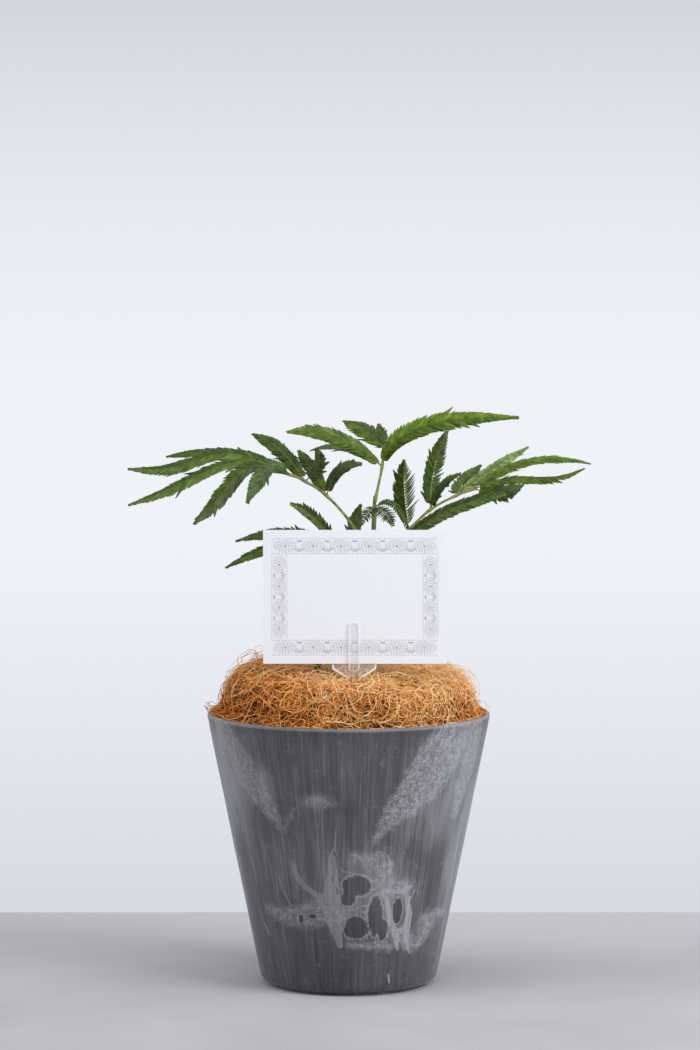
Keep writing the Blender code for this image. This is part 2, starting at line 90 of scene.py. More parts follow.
# Marbling on the wall, as lines of points: degrees round from the front, height and half width, the
# last two in millimetres. Clouds are broad and crackled, threads are narrow and smooth.
CLOUDS = [
    [(49, 160, 16), (45, 150, 16), (40, 140, 15.5), (34, 130, 14), (29, 121, 11.5), (21, 113, 7),
     (17.5, 106, 4.5), (14, 100, 2.4), (12, 94, 1.0)],
    [(64, 157, 8), (64, 140, 8), (60, 122, 7), (58, 108, 3)],
    [(-62, 157, 9.5), (-57, 147, 10.5), (-51, 136, 10.5), (-45, 126, 9), (-40, 117, 6.5),
     (-37, 110, 4), (-34, 103, 1.4)],
    [(-31, 103, 0.6), (-28, 109, 1.0), (-26, 113, 0.5)],
    [(-19, 119, 1.5), (-14, 120, 2.4), (-7, 119, 2.0)],
    [(2, 85, 2.5), (9, 84, 4), (15, 83, 4.5), (19, 78, 5), (19, 72, 6), (21, 66, 5.5), (27, 65, 4.5),
     (32, 67, 4)],
    [(-50, 51, 2), (-42, 48, 4), (-32, 48, 6), (-22, 50, 8), (-14, 53, 7), (-4, 50, 5)],
    [(46, 46, 1.5), (56, 47, 2.5), (68, 46, 2.5)], [(54, 43, 4), (48, 36, 4), (43, 29, 3)],
    [(26, 38, 4), (34, 36, 5), (40, 28, 3)], [(0, 32, 1.5), (12, 31, 2), (24, 31, 3)],
    [(154, 160, 11), (149, 150, 13), (143, 140, 12), (136, 129, 10), (131, 119, 6), (127, 109, 3),
     (125, 100, 1)],
    [(-126, 158, 8), (-131, 147, 9), (-138, 135, 8), (-145, 123, 5.5), (-149, 112, 3), (-151, 103, 1)],
    [(-176, 59, 1.5), (176, 62, 3), (168, 65, 5), (159, 62, 5), (151, 57, 3), (145, 50, 1.5)],
    [(-170, 49, 1.5), (-163, 52, 4), (-153, 52, 5), (-144, 48, 3.5), (-137, 44, 1)],
    [(106, 124, 1), (109, 115, 4), (114, 104, 5), (119, 93, 3), (122, 84, 1)],
    [(84, 44, 1), (91, 48, 3.5), (100, 51, 4.5), (109, 48, 3), (116, 42, 1)],
    [(-106, 104, 1), (-103, 92, 3.5), (-99, 78, 4.5), (-96, 66, 3), (-95, 57, 1)],
    [(-84, 50, 1), (-92, 48, 3.5), (-102, 51, 4.5), (-112, 48, 3), (-118, 43, 1)],
]
THREADS = [
    [(-6, 103, 0.3), (-6.5, 92, 0.8), (-8, 85, 2.2), (-8, 76, 3.2), (-9, 66, 4.6), (-9.5, 58, 6),
     (-9, 50, 5), (-7, 42, 3.4), (-5, 32, 1.8)],
    [(-28.5, 82, 0.3), (-28, 77, 1.8), (-26.5, 72, 1.8), (-23, 67, 1.8), (-18, 63.5, 1.6), (-13, 60, 2)],
    [(-38, 72, 0.3), (-36.5, 64, 0.5), (-34, 58, 0.4), (-32, 54, 0.2)],
    [(-57, 81, 0.4), (-56.5, 72, 0.7), (-56, 66, 0.2)], [(-59, 49, 0.5), (-56, 41, 0.7), (-53, 35, 0.9)],
    [(-4, 79, 0.3), (-2, 77, 0.5), (3, 76, 0.5), (8, 74.5, 0.7), (12, 71, 0.9)],
    [(13, 66, 0.7), (9, 67, 0.6), (5.5, 65.5, 0.6), (3.5, 60, 0.4), (1, 54, 0.4), (-1, 50, 0.6)],
    [(11, 57, 0.3), (6, 55.5, 0.3), (1, 53, 0.4)], [(9, 53, 0.3), (4, 51.5, 0.3), (-1, 48, 0.6)],
    [(16, 64, 0.8), (11.5, 61, 0.5), (9.5, 54, 0.3), (9, 46, 0.2)], [(9, 42, 0.2), (10.5, 36, 0.5)],
    [(-2, 46, 0.4), (1, 41, 0.3), (2, 36, 0.4)],
    [(18, 64, 1.3), (20.5, 59, 1.4), (21.5, 55, 1.5), (22.5, 50, 1.7), (24, 45, 1.9), (26.5, 40, 2.2),
     (28.5, 34, 1.8), (30, 28, 0.8)],
    [(19.5, 45, 0.2), (20.5, 41, 0.4), (22.5, 36, 0.6)], [(18, 65, 1.6), (25, 64, 1.3), (31, 64, 1.8)],
    [(31, 66, 1.4), (32.5, 60, 1.4), (33.5, 55, 1.8), (35, 49, 2.4), (34.5, 43, 2.7), (34.5, 36, 2.4),
     (37, 30, 1.6), (38.5, 25, 0.5)],
    [(37, 64, 0.3), (35, 60, 0.7), (34, 57, 0.8)], [(28, 39, 2.0), (34, 40, 2.4)],
    [(66, 105, 0.4), (67, 92, 0.5), (70, 72, 0.6), (71, 60, 0.3)], [(25, 13, 0.2), (26.5, 8, 0.6)],
    [(19, 87, 0.3), (21, 81, 0.5), (22, 75, 0.3)],
    [(150, 84, 1.5), (148, 64, 2.2), (152, 48, 2.5), (155, 38, 1.2)],
    [(150, 70, 1.2), (160, 64, 1.4), (166, 52, 1.6)],
    [(-165, 92, 1.0), (-167, 70, 2.0), (-163, 54, 1.8)],
    [(96, 66, 0.8), (99, 54, 1.2), (104, 48, 1.4)],
    [(-118, 126, 1.0), (-121, 108, 1.4), (-116, 96, 0.8)],
    [(-95, 74, 0.6), (-98, 56, 1.0)],
]
CLOUD_EDGE = 6.0
THREAD_EDGE = 2.0
THINNEST_THREAD = 0.5
LINE_REACH = 60.0

# Broad paler smears: degrees, height, half width and half height in millimetres, and strength.
# Those over the right side and down the left edge are painted sheen and light; the rest are paler
# marbling. They are full within a share of the way from their middle to their edge, and gone by another.
PALE_SMEARS_AND_SHEEN = [
    (12, 62, 40, 34, 0.75), (58, 128, 36, 54, 1.1), (72, 80, 28, 90, 1.1), (-66, 132, 26, 50, 0.8),
    (-40, 126, 12, 22, 0.5), (-80, 70, 12, 80, 0.5), (-14, 119, 12, 8, 0.5), (28, 104, 16, 18, 0.35),
    (50, 40, 20, 14, 0.5), (4, 132, 12, 30, 0.2), (118, 104, 30, 40, 0.6), (176, 120, 40, 30, 0.6),
    (-106, 66, 26, 40, 0.6), (-150, 128, 30, 30, 0.6), (150, 56, 34, 26, 0.6), (-168, 66, 26, 24, 0.6),
]
SMEAR_AND_SHEEN_FULL = 1 / 3
SMEAR_AND_SHEEN_END = 1

# Dark hollows in the marbling: degrees, height, half width and half height in millimetres
HOLLOWS = [
    (4, 68.5, 9, 6.6), (0, 61, 4.5, 5), (14.5, 50, 4.7, 12.5), (4, 43, 8, 7.5), (19.5, 41, 3, 7),
    (27.2, 52, 3.2, 9), (-27, 47.5, 1.7, 2.8), (-20, 49, 3.2, 1.6),
    (-6.5, 88, 0.6, 1.8), (-8, 72, 0.6, 3), (-6, 65, 0.5, 3),
]
HOLLOW_FULL = 2 / 3
HOLLOW_END = 8 / 7


def wall_radius(height):
    return BASE_RADIUS + WALL_LEAN * height


def arc(centre, radius, start, end, steps):
    angles = [math.radians(start + (end - start) * i / steps) for i in range(steps + 1)]
    return [(centre[0] + radius * math.cos(a), centre[1] + radius * math.sin(a)) for a in angles]


def bell(distance, reach):
    """1 in the middle, falling away smoothly with distance."""
    return math.exp(-((distance / reach) ** 2))


def between(first, last, spacing):
    """Points from first to last, both included, no further apart than spacing."""
    steps = max(1, math.ceil(math.dist(first, last) / spacing))
    shares = [i / steps for i in range(steps + 1)]
    return [(first[0] + (last[0] - first[0]) * s, first[1] + (last[1] - first[1]) * s) for s in shares]


def pot_profile():
    lean = math.atan(WALL_LEAN)
    inner_top = (wall_radius(POT_HEIGHT) - WALL, POT_HEIGHT - LIP_INNER)
    inner_low = (wall_radius(FLOOR_TOP + BASE_CORNER) - WALL, FLOOR_TOP + BASE_CORNER)
    floor_edge = (inner_low[0] - BASE_CORNER, FLOOR_TOP)
    profile = between((0, FLOOR_TOP), floor_edge, FLOOR_RING)
    profile += arc((floor_edge[0], inner_low[1]), BASE_CORNER, -90, -10, 5)[1:]
    profile += between(inner_low, inner_top, PLAIN_RING)[1:]
    profile += arc((inner_top[0] + LIP_INNER, inner_top[1]), LIP_INNER, 180, 90, 4)[1:]
    lip_height = POT_HEIGHT - LIP_OUTER
    lip_centre = (wall_radius(lip_height) - LIP_OUTER / math.cos(lean), lip_height)
    profile += arc(lip_centre, LIP_OUTER, 90, -math.degrees(lean), 8)
    base_height = FOOT_HEIGHT + BASE_CORNER
    top = lip_height - WALL_RING
    wall = between((wall_radius(top), top), (wall_radius(base_height), base_height), WALL_RING)
    for radius, height in wall:
        neck = NECK_DEPTH * bell(POT_HEIGHT - NECK_BELOW_RIM - height, NECK_REACH)
        profile.append((radius - neck, height))
    inset = BASE_CORNER / math.cos(lean)
    corner = (wall_radius(base_height) - inset, base_height)
    profile += arc(corner, BASE_CORNER, -math.degrees(lean), -90, 6)[1:]
    foot = wall_radius(FOOT_HEIGHT) - FOOT_INSET
    profile += [(foot, FOOT_HEIGHT), (foot, 0)] + between((foot, 0), (0, 0), PLAIN_RING)[1:]
    return profile


def mesh_from(name, shape):
    mesh = bpy.data.meshes.new(name)
    shape.to_mesh(mesh)
    shape.free()
    return mesh


def turned(name, profile, steps):
    """A mesh turned about Z from a profile that runs up the inside and down the outside."""
    shape = bmesh.new()
    corners = [shape.verts.new((radius, 0, height)) for radius, height in profile]
    edges = [shape.edges.new(pair) for pair in zip(corners, corners[1:])]
    bmesh.ops.spin(
        shape, geom=corners + edges, axis=(0, 0, 1), cent=(0, 0, 0),
        angle=2 * math.pi, steps=steps, use_merge=True,
    )
    bmesh.ops.remove_doubles(shape, verts=shape.verts, dist=WELD)
    bmesh.ops.recalc_face_normals(shape, faces=shape.faces)
    return mesh_from(name, shape)


def show(name, mesh, material):
    """The mesh as a piece of the part, in its material."""
    piece = bpy.data.objects.new(name, mesh)
    bpy.context.scene.collection.objects.link(piece)
    mesh.materials.clear()
    mesh.materials.append(material)
    return piece


def set_values(mesh, name, values):
    """A number at each vertex, which the material reads by name."""
    layer = mesh.attributes.new(name, "FLOAT", "POINT")
    layer.data.foreach_set("value", values)


def on_wall(point):
    """Degrees round from the front, height and radius, the last two in millimetres."""
    degrees = math.degrees(math.atan2(point.x, -point.y))
    return degrees, point.z / MM, math.hypot(point.x, point.y) / MM


def is_outside(place):
    """Whether a place is on the wall's outer face."""
    _, height, radius = place
    return radius >= wall_radius(height * MM) / MM - 1


def limited(value):
    return min(1, max(0, value))


def across_wall(degrees, middle, radius):
    """Millimetres round the wall from the middle's degrees to these."""
    return math.radians((degrees - middle + 180) % 360 - 180) * radius


def line_cover(lines, edge, thinnest, place):
    """How much of a place on the wall the lines cover, from 0 to 1, with soft edges."""
    strongest = 0.0
    if not is_outside(place):
        return strongest
    degrees, height, radius = place
    for line in lines:
        if abs(across_wall(degrees, line[0][0], radius)) > LINE_REACH:
            continue
        for (d1, h1, w1), (d2, h2, w2) in zip(line, line[1:]):
            x, y = across_wall(degrees, d1, radius), height - h1
            run, rise = across_wall(d2, d1, radius), h2 - h1
            share = limited((x * run + y * rise) / (run * run + rise * rise))
            half = max(thinnest, w1 + (w2 - w1) * share)
            inside = half - math.hypot(x - run * share, y - rise * share)
            strongest = max(strongest, min(1, 0.5 + inside / edge))
    return strongest


def oval_cover(oval, full, end, place):
    """How much an oval covers a place on the wall: all of it within full, none of it beyond end."""
    middle, level, half_width, half_height = oval
    degrees, height, radius = place
    aside = across_wall(degrees, middle, radius)
    out = math.hypot(aside / half_width, (height - level) / half_height)
    return limited((end - out) / (end - full))


def hollowness(place):
    if not is_outside(place):
        return 0.0
    return max(oval_cover(oval, HOLLOW_FULL, HOLLOW_END, place) for oval in HOLLOWS)


# Paler marbling smears, with painted sheen down the edges and painted light over the right side.
def smearing_and_sheen(place):
    return max(strength * oval_cover(oval, SMEAR_AND_SHEEN_FULL, SMEAR_AND_SHEEN_END, place) for *oval, strength in PALE_SMEARS_AND_SHEEN)


def cut_drain_holes(pot):
    for i in range(DRAIN_HOLES):
        angle = 2 * math.pi * i / DRAIN_HOLES
        place = (DRAIN_HOLE_CIRCLE * math.cos(angle), DRAIN_HOLE_CIRCLE * math.sin(angle), 0)
        bpy.ops.mesh.primitive_cylinder_add(
            vertices=DRAIN_HOLE_SIDES, radius=DRAIN_HOLE_RADIUS, depth=4 * FLOOR_TOP, location=place
        )
        drill = bpy.context.object
        cut = pot.modifiers.new("drain", "BOOLEAN")
        cut.operation = "DIFFERENCE"
        cut.object = drill
        bpy.context.view_layer.objects.active = pot
        bpy.ops.object.modifier_apply(modifier=cut.name)
        bpy.data.objects.remove(drill, do_unlink=True)


class Value:
    """A number, colour or place that a node gives. Arithmetic on it adds nodes to the same tree."""

    def __init__(self, socket):
        self.socket = socket
        self.tree = socket.id_data

    def other(self, output):
        """Another output of the same node."""
        return Value(self.socket.node.outputs[output])

    def __add__(self, more):
        return calc("ADD", self, more)

    def __sub__(self, less):
        return calc("SUBTRACT", self, less)

    def __rsub__(self, whole):
        return calc("SUBTRACT", whole, self)

    def __mul__(self, times):
        return calc("MULTIPLY", self, times)

    __radd__ = __add__
    __rmul__ = __mul__


class Finish:
    """A material with one Principled shader, under construction."""

    def __init__(self, name, roughness, inputs=()):
        self.material = bpy.data.materials.new(name)
        self.material.use_nodes = True
        self.tree = self.material.node_tree
        self.shader = self.tree.nodes["Principled BSDF"]
        for key, value in {"Roughness": roughness, **dict(inputs)}.items():
            self.shader.inputs[key].default_value = value

    def place(self, stretch=(1, 1, 1)):
        """Object coordinates in metres, stretched along each axis."""
        where = node(self.tree, "ShaderNodeTexCoord", output="Object")
        return node(self.tree, "ShaderNodeVectorMath", {0: where, 1: stretch}, operation="MULTIPLY")

    def read(self, name):
        """The number that set_values laid on the mesh."""
        return node(self.tree, "ShaderNodeAttribute", output="Fac", attribute_name=name)

    def painted(self, colour, relief=None, depth=0.0, strength=1.0):
        """The finished material, in this colour, with the relief raised to this depth."""
        self.tree.links.new(colour.socket, self.shader.inputs["Base Color"])
        if relief:
            inputs = {"Height": relief, "Distance": depth, "Strength": strength}
            bump = node(self.tree, "ShaderNodeBump", inputs)
            self.tree.links.new(bump.socket, self.shader.inputs["Normal"])
        return self.material


def node(tree, kind, inputs=(), output=0, **settings):
    """One output of a new node with these settings and inputs."""
    made = tree.nodes.new(kind)
    for key, value in settings.items():
        setattr(made, key, value)
    for key, value in dict(inputs).items():
        socket = made.inputs[key]
        if isinstance(value, Value):
            tree.links.new(value.socket, socket)
        else:
            socket.default_value = (*value, 1) if socket.type == "RGBA" else value
    return Value(made.outputs[output])


def grain(where, scale, detail=3.0, roughness=0.55):
    inputs = {"Vector": where, "Scale": scale, "Detail": detail, "Roughness": roughness}
    return node(where.tree, "ShaderNodeTexNoise", inputs, "Fac")


def calc(operation, *values):
    tree = next(value.tree for value in values if isinstance(value, Value))
    return node(tree, "ShaderNodeMath", enumerate(values), operation=operation)


def fade(value, low, high, from_value=0.0, to_value=1.0):
    """value from low to high, as from_value to to_value."""
    inputs = {"Value": value, "From Min": low, "From Max": high, "To Min": from_value, "To Max": to_value}
    return node(value.tree, "ShaderNodeMapRange", inputs, "Result", interpolation_type="SMOOTHSTEP")


def ramp(value, stops):
    """The colours at the stops, blended along value."""
    colour = node(value.tree, "ShaderNodeValToRGB", {"Fac": value}, "Color")
    elements = colour.socket.node.color_ramp.elements
    while len(elements) < len(stops):
        elements.new(0.5)
    for element, (position, shade) in zip(elements, stops):
        element.position = position
        element.color = (*shade, 1)
    return colour


def blend(share, first, second):
    """The second colour by its share, and the first for the rest."""
    return node(share.tree, "ShaderNodeMix", {0: share, 6: first, 7: second}, 2, data_type="RGBA")


def stone_resin():
    finish = Finish("stone_resin", 0.6, {
        "Specular IOR Level": 0.4, "Sheen Weight": 0.30, "Sheen Roughness": 0.4,
        "Sheen Tint": (0.86, 0.90, 1, 1),
    })
    where = finish.place()
    aside = node(finish.tree, "ShaderNodeSeparateXYZ", {0: where})
    height = aside.other(2)
    widening = calc("DIVIDE", RIM_RADIUS, height * WALL_LEAN + BASE_RADIUS)

    def down_wall(squeeze):
        """Places measured round the wall and, squeezed, down it, so that streaks follow its lean."""
        stretch = node(finish.tree, "ShaderNodeCombineXYZ", {0: widening, 1: widening, 2: squeeze})
        return node(finish.tree, "ShaderNodeVectorMath", {0: where, 1: stretch}, operation="MULTIPLY")

    clouds = grain(where, 22, 4)
    drag = grain(down_wall(0.02), 900, 3, 0.7)
    smear = grain(down_wall(0.14), 150, 4, 0.65)
    pits = grain(where, 900, 4, 0.7)
    # The smear attribute is partly paler marbling and partly painted sheen and light at the edges and
    # right side.
    tone = 0.58 * (0.45 * clouds + 0.55 * smear) + 0.36 * drag + 0.06 * pits + 0.15 * finish.read("smear")
    # Painted shade: darker towards the base, and a little darker just under the lip.
    tone += fade(height, 0, 75 * MM, -0.085, 0)
    tone += fade(height, POT_HEIGHT - 14 * MM, POT_HEIGHT - 3 * MM, 0, -0.035)
    fray = grain(where, 150, 6, 0.8) - 0.5
    close = fade(finish.read("hollow"), 0.0, 0.12)
    frayed = 2.6 * (fray * close) + finish.read("hollow")
    hollow = fade(frayed, 0.25, 0.75)
    brim = fade(frayed, 0.04, 0.20) * fade(frayed, 0.30, 0.50, 1, 0)
    charcoal = ramp(tone - 0.15 * hollow, [
        (0.34, (0.030, 0.031, 0.035)), (0.5, (0.078, 0.078, 0.082)), (0.68, (0.212, 0.214, 0.238)),
    ])
    crackle = fade(grain(where, 320, 6, 1.0), 0.44, 0.60)
    cloudy = fade(2.6 * fray + finish.read("cloud"), 0.0, 0.95) * fade(crackle, 0, 1, 0.18, 1.0)
    threads = fade(0.5 * fray + finish.read("thread"), 0.34, 0.62)
    threads *= fade(drag, 0.40, 0.60, 0.72, 1.0) * fade(crackle, 0, 1, 0.78, 1.0)
    threads *= fade(aside, -8 * MM, 24 * MM, 0.62, 1.0)
    pale = calc("MAXIMUM", calc("MAXIMUM", cloudy, threads), 0.55 * brim)
    pale *= fade(hollow, 0, 1, 1.0, 0.10)
    # Painted highlight: the top of the lip is paler where its rounded edge catches the light.
    lip_highlight = fade(height, POT_HEIGHT - 2.1 * MM, POT_HEIGHT - 1.4 * MM, 0, 0.44)
    pale = calc("MAXIMUM", pale, lip_highlight * fade(clouds, 0.3, 0.6, 0.6, 1.0))
    # Painted light: the pale marbling is paler and bluer towards the lit right side, pinker to the left.
    stone = ramp(fade(aside, -40 * MM, 60 * MM), [
        (0.0, (0.280, 0.258, 0.258)), (1.0, (0.385, 0.392, 0.430)),
    ])
    relief = 0.6 * drag + 0.25 * pits + 0.30 * pale
    return finish.painted(blend(0.90 * pale, charcoal, stone), relief, 0.25 * MM, 0.6)


pot_material = stone_resin()
pot_piece = show("planter_shell", turned("planter_shell", pot_profile(), POT_STEPS), pot_material)
cut_drain_holes(pot_piece)
for vertex in pot_piece.data.vertices:
    if FLOOR_TOP < vertex.co.z < POT_HEIGHT - EVEN_BELOW_RIM:
        outward = Vector((vertex.co.x, vertex.co.y, 0)).normalized()
        vertex.co += outward * noise.noise(vertex.co * UNEVEN_SCALE) * UNEVENNESS
wall_places = [on_wall(vertex.co) for vertex in pot_piece.data.vertices]
for name, lines, edge, thinnest in (
    ("cloud", CLOUDS, CLOUD_EDGE, 0), ("thread", THREADS, THREAD_EDGE, THINNEST_THREAD),
):
    set_values(pot_piece.data, name, [line_cover(lines, edge, thinnest, place) for place in wall_places])
# Paler marbling smears, with painted sheen and light at the edges and right side.
set_values(pot_piece.data, "smear", [smearing_and_sheen(place) for place in wall_places])
set_values(pot_piece.data, "hollow", [hollowness(place) for place in wall_places])
pot_piece.data.shade_smooth()
pot_piece.data.set_sharp_from_angle(angle=POT_SHARP_FROM)
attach(pot_piece, "root")
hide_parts("pot")


# ------------------------------------------------------------------------------- filling
# Inside the planter, from the floor up: a moulded plastic net over the drain holes, a bed of pumice
# gravel, and dark potting soil round the root ball. They are poured and laid in, not fixed.

def net_plastic():
    finish = Finish("net_plastic", 0.55)
    colour = ramp(grain(finish.place(), 600), [
        (0.3, (0.012, 0.012, 0.013)), (0.7, (0.03, 0.03, 0.032)),
    ])
    return finish.painted(colour, grain(finish.place(), 2500), 0.05 * MM)


def pumice():
    finish = Finish("pumice", 0.95)
    inputs = {"Vector": finish.place(), "Scale": 130.0}
    distance = node(finish.tree, "ShaderNodeTexVoronoi", inputs, "Distance", feature="F1")
    share = node(finish.tree, "ShaderNodeSeparateColor", {"Color": distance.other("Color")})
    colour = ramp(share, [(0.0, (0.30, 0.25, 0.19)), (1.0, (0.62, 0.57, 0.48))])
    return finish.painted(colour, 1.0 - distance, 3 * MM)


def soil():
    finish = Finish("soil", 0.95)
    crumbs = grain(finish.place(), 350, 6, 0.7)
    colour = ramp(crumbs, [
        (0.3, (0.008, 0.005, 0.003)), (0.6, (0.045, 0.027, 0.016)), (0.8, (0.12, 0.08, 0.05)),
    ])
    return finish.painted(colour, crumbs, 2 * MM)


for name, material in (
    ("drain_net", net_plastic()), ("drainage_gravel", pumice()), ("potting_soil", soil()),
):
    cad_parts[name].data.materials.clear()
    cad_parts[name].data.materials.append(material)


# ------------------------------------------------------------------------------- coir mulch
# A springy cushion of coconut-husk fibre, teased out by hand and tucked in round the trunk inside
# the rim: a matted core painted dark as the shade deep among the fibres, then thousands of curled
# golden fibres, and a few that stray out.

CORE_INSET = 2.4 * MM
MAT_BELOW_RIM = 2 * MM
FIBRE_SIDES = 3
RIM_CLEARANCE = 82 * MM
RIM_BAND = 0.6 * MM
CARD_CLEARANCE = 4 * MM
CROWN_RADIUS = 68 * MM
CROWN_LIFT = 1.5
card_low, card_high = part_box("message_card")

# How a fibre winds: the share of each turn that lasts into the next one and the share that is new,
# the height in millimetres and the pace of its waves, and its unevenness in millimetres
TURN_KEPT = 0.7
TURN_NEW = 0.6
WAVE_HEIGHT = 0.45
WAVE_PACE = 1.9
FIBRE_UNEVENNESS = 0.15

# How much paler a fibre is where it lies high, above a middling height, and towards the lit side,
# as painted light and shade, and the scale and strength of the clumps of paler and redder fibres
PAINTED_LIGHT_BY_HEIGHT = 0.44
MIDDLING_HEIGHT = 0.36
PAINTED_LIGHT_BY_SIDE = 0.26
TINT_CLUMPS = ((45, 0.34), (120, 0.30))

# Layers of fibre: how many, length and radius in millimetres, how high their middles stand above
# the mat, how far their ends are buried, step between points, curl, and how pale they are, the
# lower layers painted darker as the shade deep in the mulch
COIR_LAYERS = {
    "coir_inner_fibres": (1500, (14, 26), (0.22, 0.36), (-1.6, -0.2), 1.2, 2.0, 0.70, (0.02, 0.36)),
    "coir_middle_fibres": (2600, (12, 28), (0.17, 0.30), (-0.8, 0.9), 1.0, 2.0, 0.66, (0.12, 0.58)),
    "coir_outer_fibres": (2300, (12, 28), (0.12, 0.24), (0.0, 2.8), 0.9, 2.0, 0.62, (0.42, 0.92)),
    "coir_loose_fibres": (1100, (10, 24), (0.13, 0.22), (0.8, 4.6), 0.6, 1.8, 0.80, (0.50, 1.0)),
    "coir_long_fibres": (620, (28, 64), (0.15, 0.27), (1.0, 4.6), 0.8, 2.2, 0.34, (0.62, 1.0)),
    "coir_stray_fibres": (170, (26, 56), (0.12, 0.20), (4.0, 10.0), 1.5, 2.4, 0.26, (0.45, 0.95)),
}
draw = random.Random(7)


def wrap(faces, first, sides, rings):
    """Adds the faces between rings of vertices that follow each other."""
    for low in range(first, first + sides * (rings - 1), sides):
        for k in range(sides):
            after = (k + 1) % sides
            faces.append((low + k, low + after, low + sides + after, low + sides + k))


def sweep(verts, faces, points, radii, sides):
    """Adds a closed tube along the points, with its own radius at each, to the lists."""
    first = len(verts)
    upright = None
    for i, (point, radius) in enumerate(zip(points, radii)):
        ahead = (points[min(i + 1, len(points) - 1)] - points[max(i - 1, 0)]).normalized()
        if upright is None:
            upright = ahead.orthogonal()
        upright = (upright - ahead * upright.dot(ahead)).normalized()
        aside = ahead.cross(upright)
        for k in range(sides):
            angle = 2 * math.pi * k / sides
            verts.append(point + (upright * math.cos(angle) + aside * math.sin(angle)) * radius)
    wrap(faces, first, sides, len(points))
    faces.append(tuple(first + k for k in reversed(range(sides))))
    faces.append(tuple(len(verts) - sides + k for k in range(sides)))


def mesh_of(name, verts, faces, smooth=True):
    mesh = bpy.data.meshes.new(name)
    mesh.from_pydata(verts, [], faces)
    if smooth:
        mesh.shade_smooth()
    return mesh


def keep_in_rim(point):
    """Moves a point that is down in the planter inside its wall."""
    out = math.hypot(point.x, point.y)
    if point.z < POT_HEIGHT + RIM_BAND and out > RIM_CLEARANCE:
        point.x *= RIM_CLEARANCE / out
        point.y *= RIM_CLEARANCE / out


def keep_below_card(point):
    """Lowers a point that would pierce the card or stand between it and its pick."""
    before = card_low.y - CARD_CLEARANCE < point.y < card_high.y + CARD_CLEARANCE
    if before and card_low.x < point.x < card_high.x:
        point.z = min(point.z, card_low.z)


def lay_fibre(surface, start, normal, length, height, buried, step, curl):
    """Points of one fibre that winds over the mat, its middle proud of it and its ends in it."""
    heading = normal.orthogonal()
    heading.rotate(Quaternion(normal, draw.uniform(0, 2 * math.pi)))
    steps = max(5, round(length / step))
    turn = draw.gauss(0, curl)
    wave = draw.uniform(0, math.pi)
    place = start.copy()
    points = []
    for i in range(steps + 1):
        turn = TURN_KEPT * turn + draw.gauss(0, curl * TURN_NEW)
        heading.rotate(Quaternion(normal, turn))
        heading = (heading - normal * heading.dot(normal)).normalized()
        place, normal, _, _ = surface.find_nearest(place + heading * step * MM)
        lift = (height + buried) * abs(math.sin(math.pi * i / steps)) ** 0.7 - buried
        lift += WAVE_HEIGHT * math.sin(wave + WAVE_PACE * i) * min(1, steps - i)
        point = place + normal * (lift + draw.gauss(0, FIBRE_UNEVENNESS)) * MM
        keep_in_rim(point)
        keep_below_card(point)
        points.append(point)
    return points


def coir_fibre():
    finish = Finish("coir_fibre", 0.6, {"Specular IOR Level": 0.3})
    # The tint attribute holds painted light and shade as well as the fibres' own colour.
    tint = finish.read("tint") + fade(grain(finish.place(), 380, 3), 0.3, 0.7, -0.1, 0.1)
    colour = ramp(tint, [
        (0.0, (0.040, 0.010, 0.004)), (0.25, (0.190, 0.048, 0.009)), (0.5, (0.580, 0.182, 0.024)),
        (0.75, (0.940, 0.385, 0.062)), (1.0, (0.985, 0.675, 0.320)),
    ])
    return finish.painted(colour, grain(finish.place(), 3000), 0.05 * MM, 0.5)


# The matted core is painted dark as the shade between the fibres.
def coir_mat():
    finish = Finish("coir_mat", 0.9)
    strands = grain(finish.place((1, 1, 2)), 420, 6, 0.75)
    colour = ramp(strands, [
        (0.35, (0.022, 0.006, 0.002)), (0.55, (0.090, 0.028, 0.006)), (0.75, (0.28, 0.10, 0.02)),
    ])
    return finish.painted(colour, strands, 1.5 * MM)


def coir_surface():
    """The outside of the mulch as a search tree, and its upward and outward faces with their areas."""
    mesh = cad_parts["coir_mulch"].data
    mesh.calc_loop_triangles()
    corners = [v.co.copy() for v in mesh.vertices]
    kept = []
    for triangle in mesh.loop_triangles:
        centre = Vector(triangle.center)
        outward = triangle.normal.dot(Vector((centre.x, centre.y, 0.02)))
        if centre.z > POT_HEIGHT - MAT_BELOW_RIM and outward > 0:
            kept.append((tuple(triangle.vertices), triangle.area))
    surface = BVHTree.FromPolygons(corners, [face for face, _ in kept])
    return surface, corners, kept


def fibre_tint(start, tints):
    """Painted light and shade: paler where the fibre lies high and towards the lit side, redder low down;
    also paler and redder in clumps.
    """
    height = (start.z - POT_HEIGHT) / (coir_high.z - POT_HEIGHT) - MIDDLING_HEIGHT
    clumps = sum(strength * noise.noise(start * scale) for scale, strength in TINT_CLUMPS)
    painted_side_light = PAINTED_LIGHT_BY_SIDE * start.x / RIM_RADIUS
    return draw.uniform(*tints) + PAINTED_LIGHT_BY_HEIGHT * height + painted_side_light + clumps


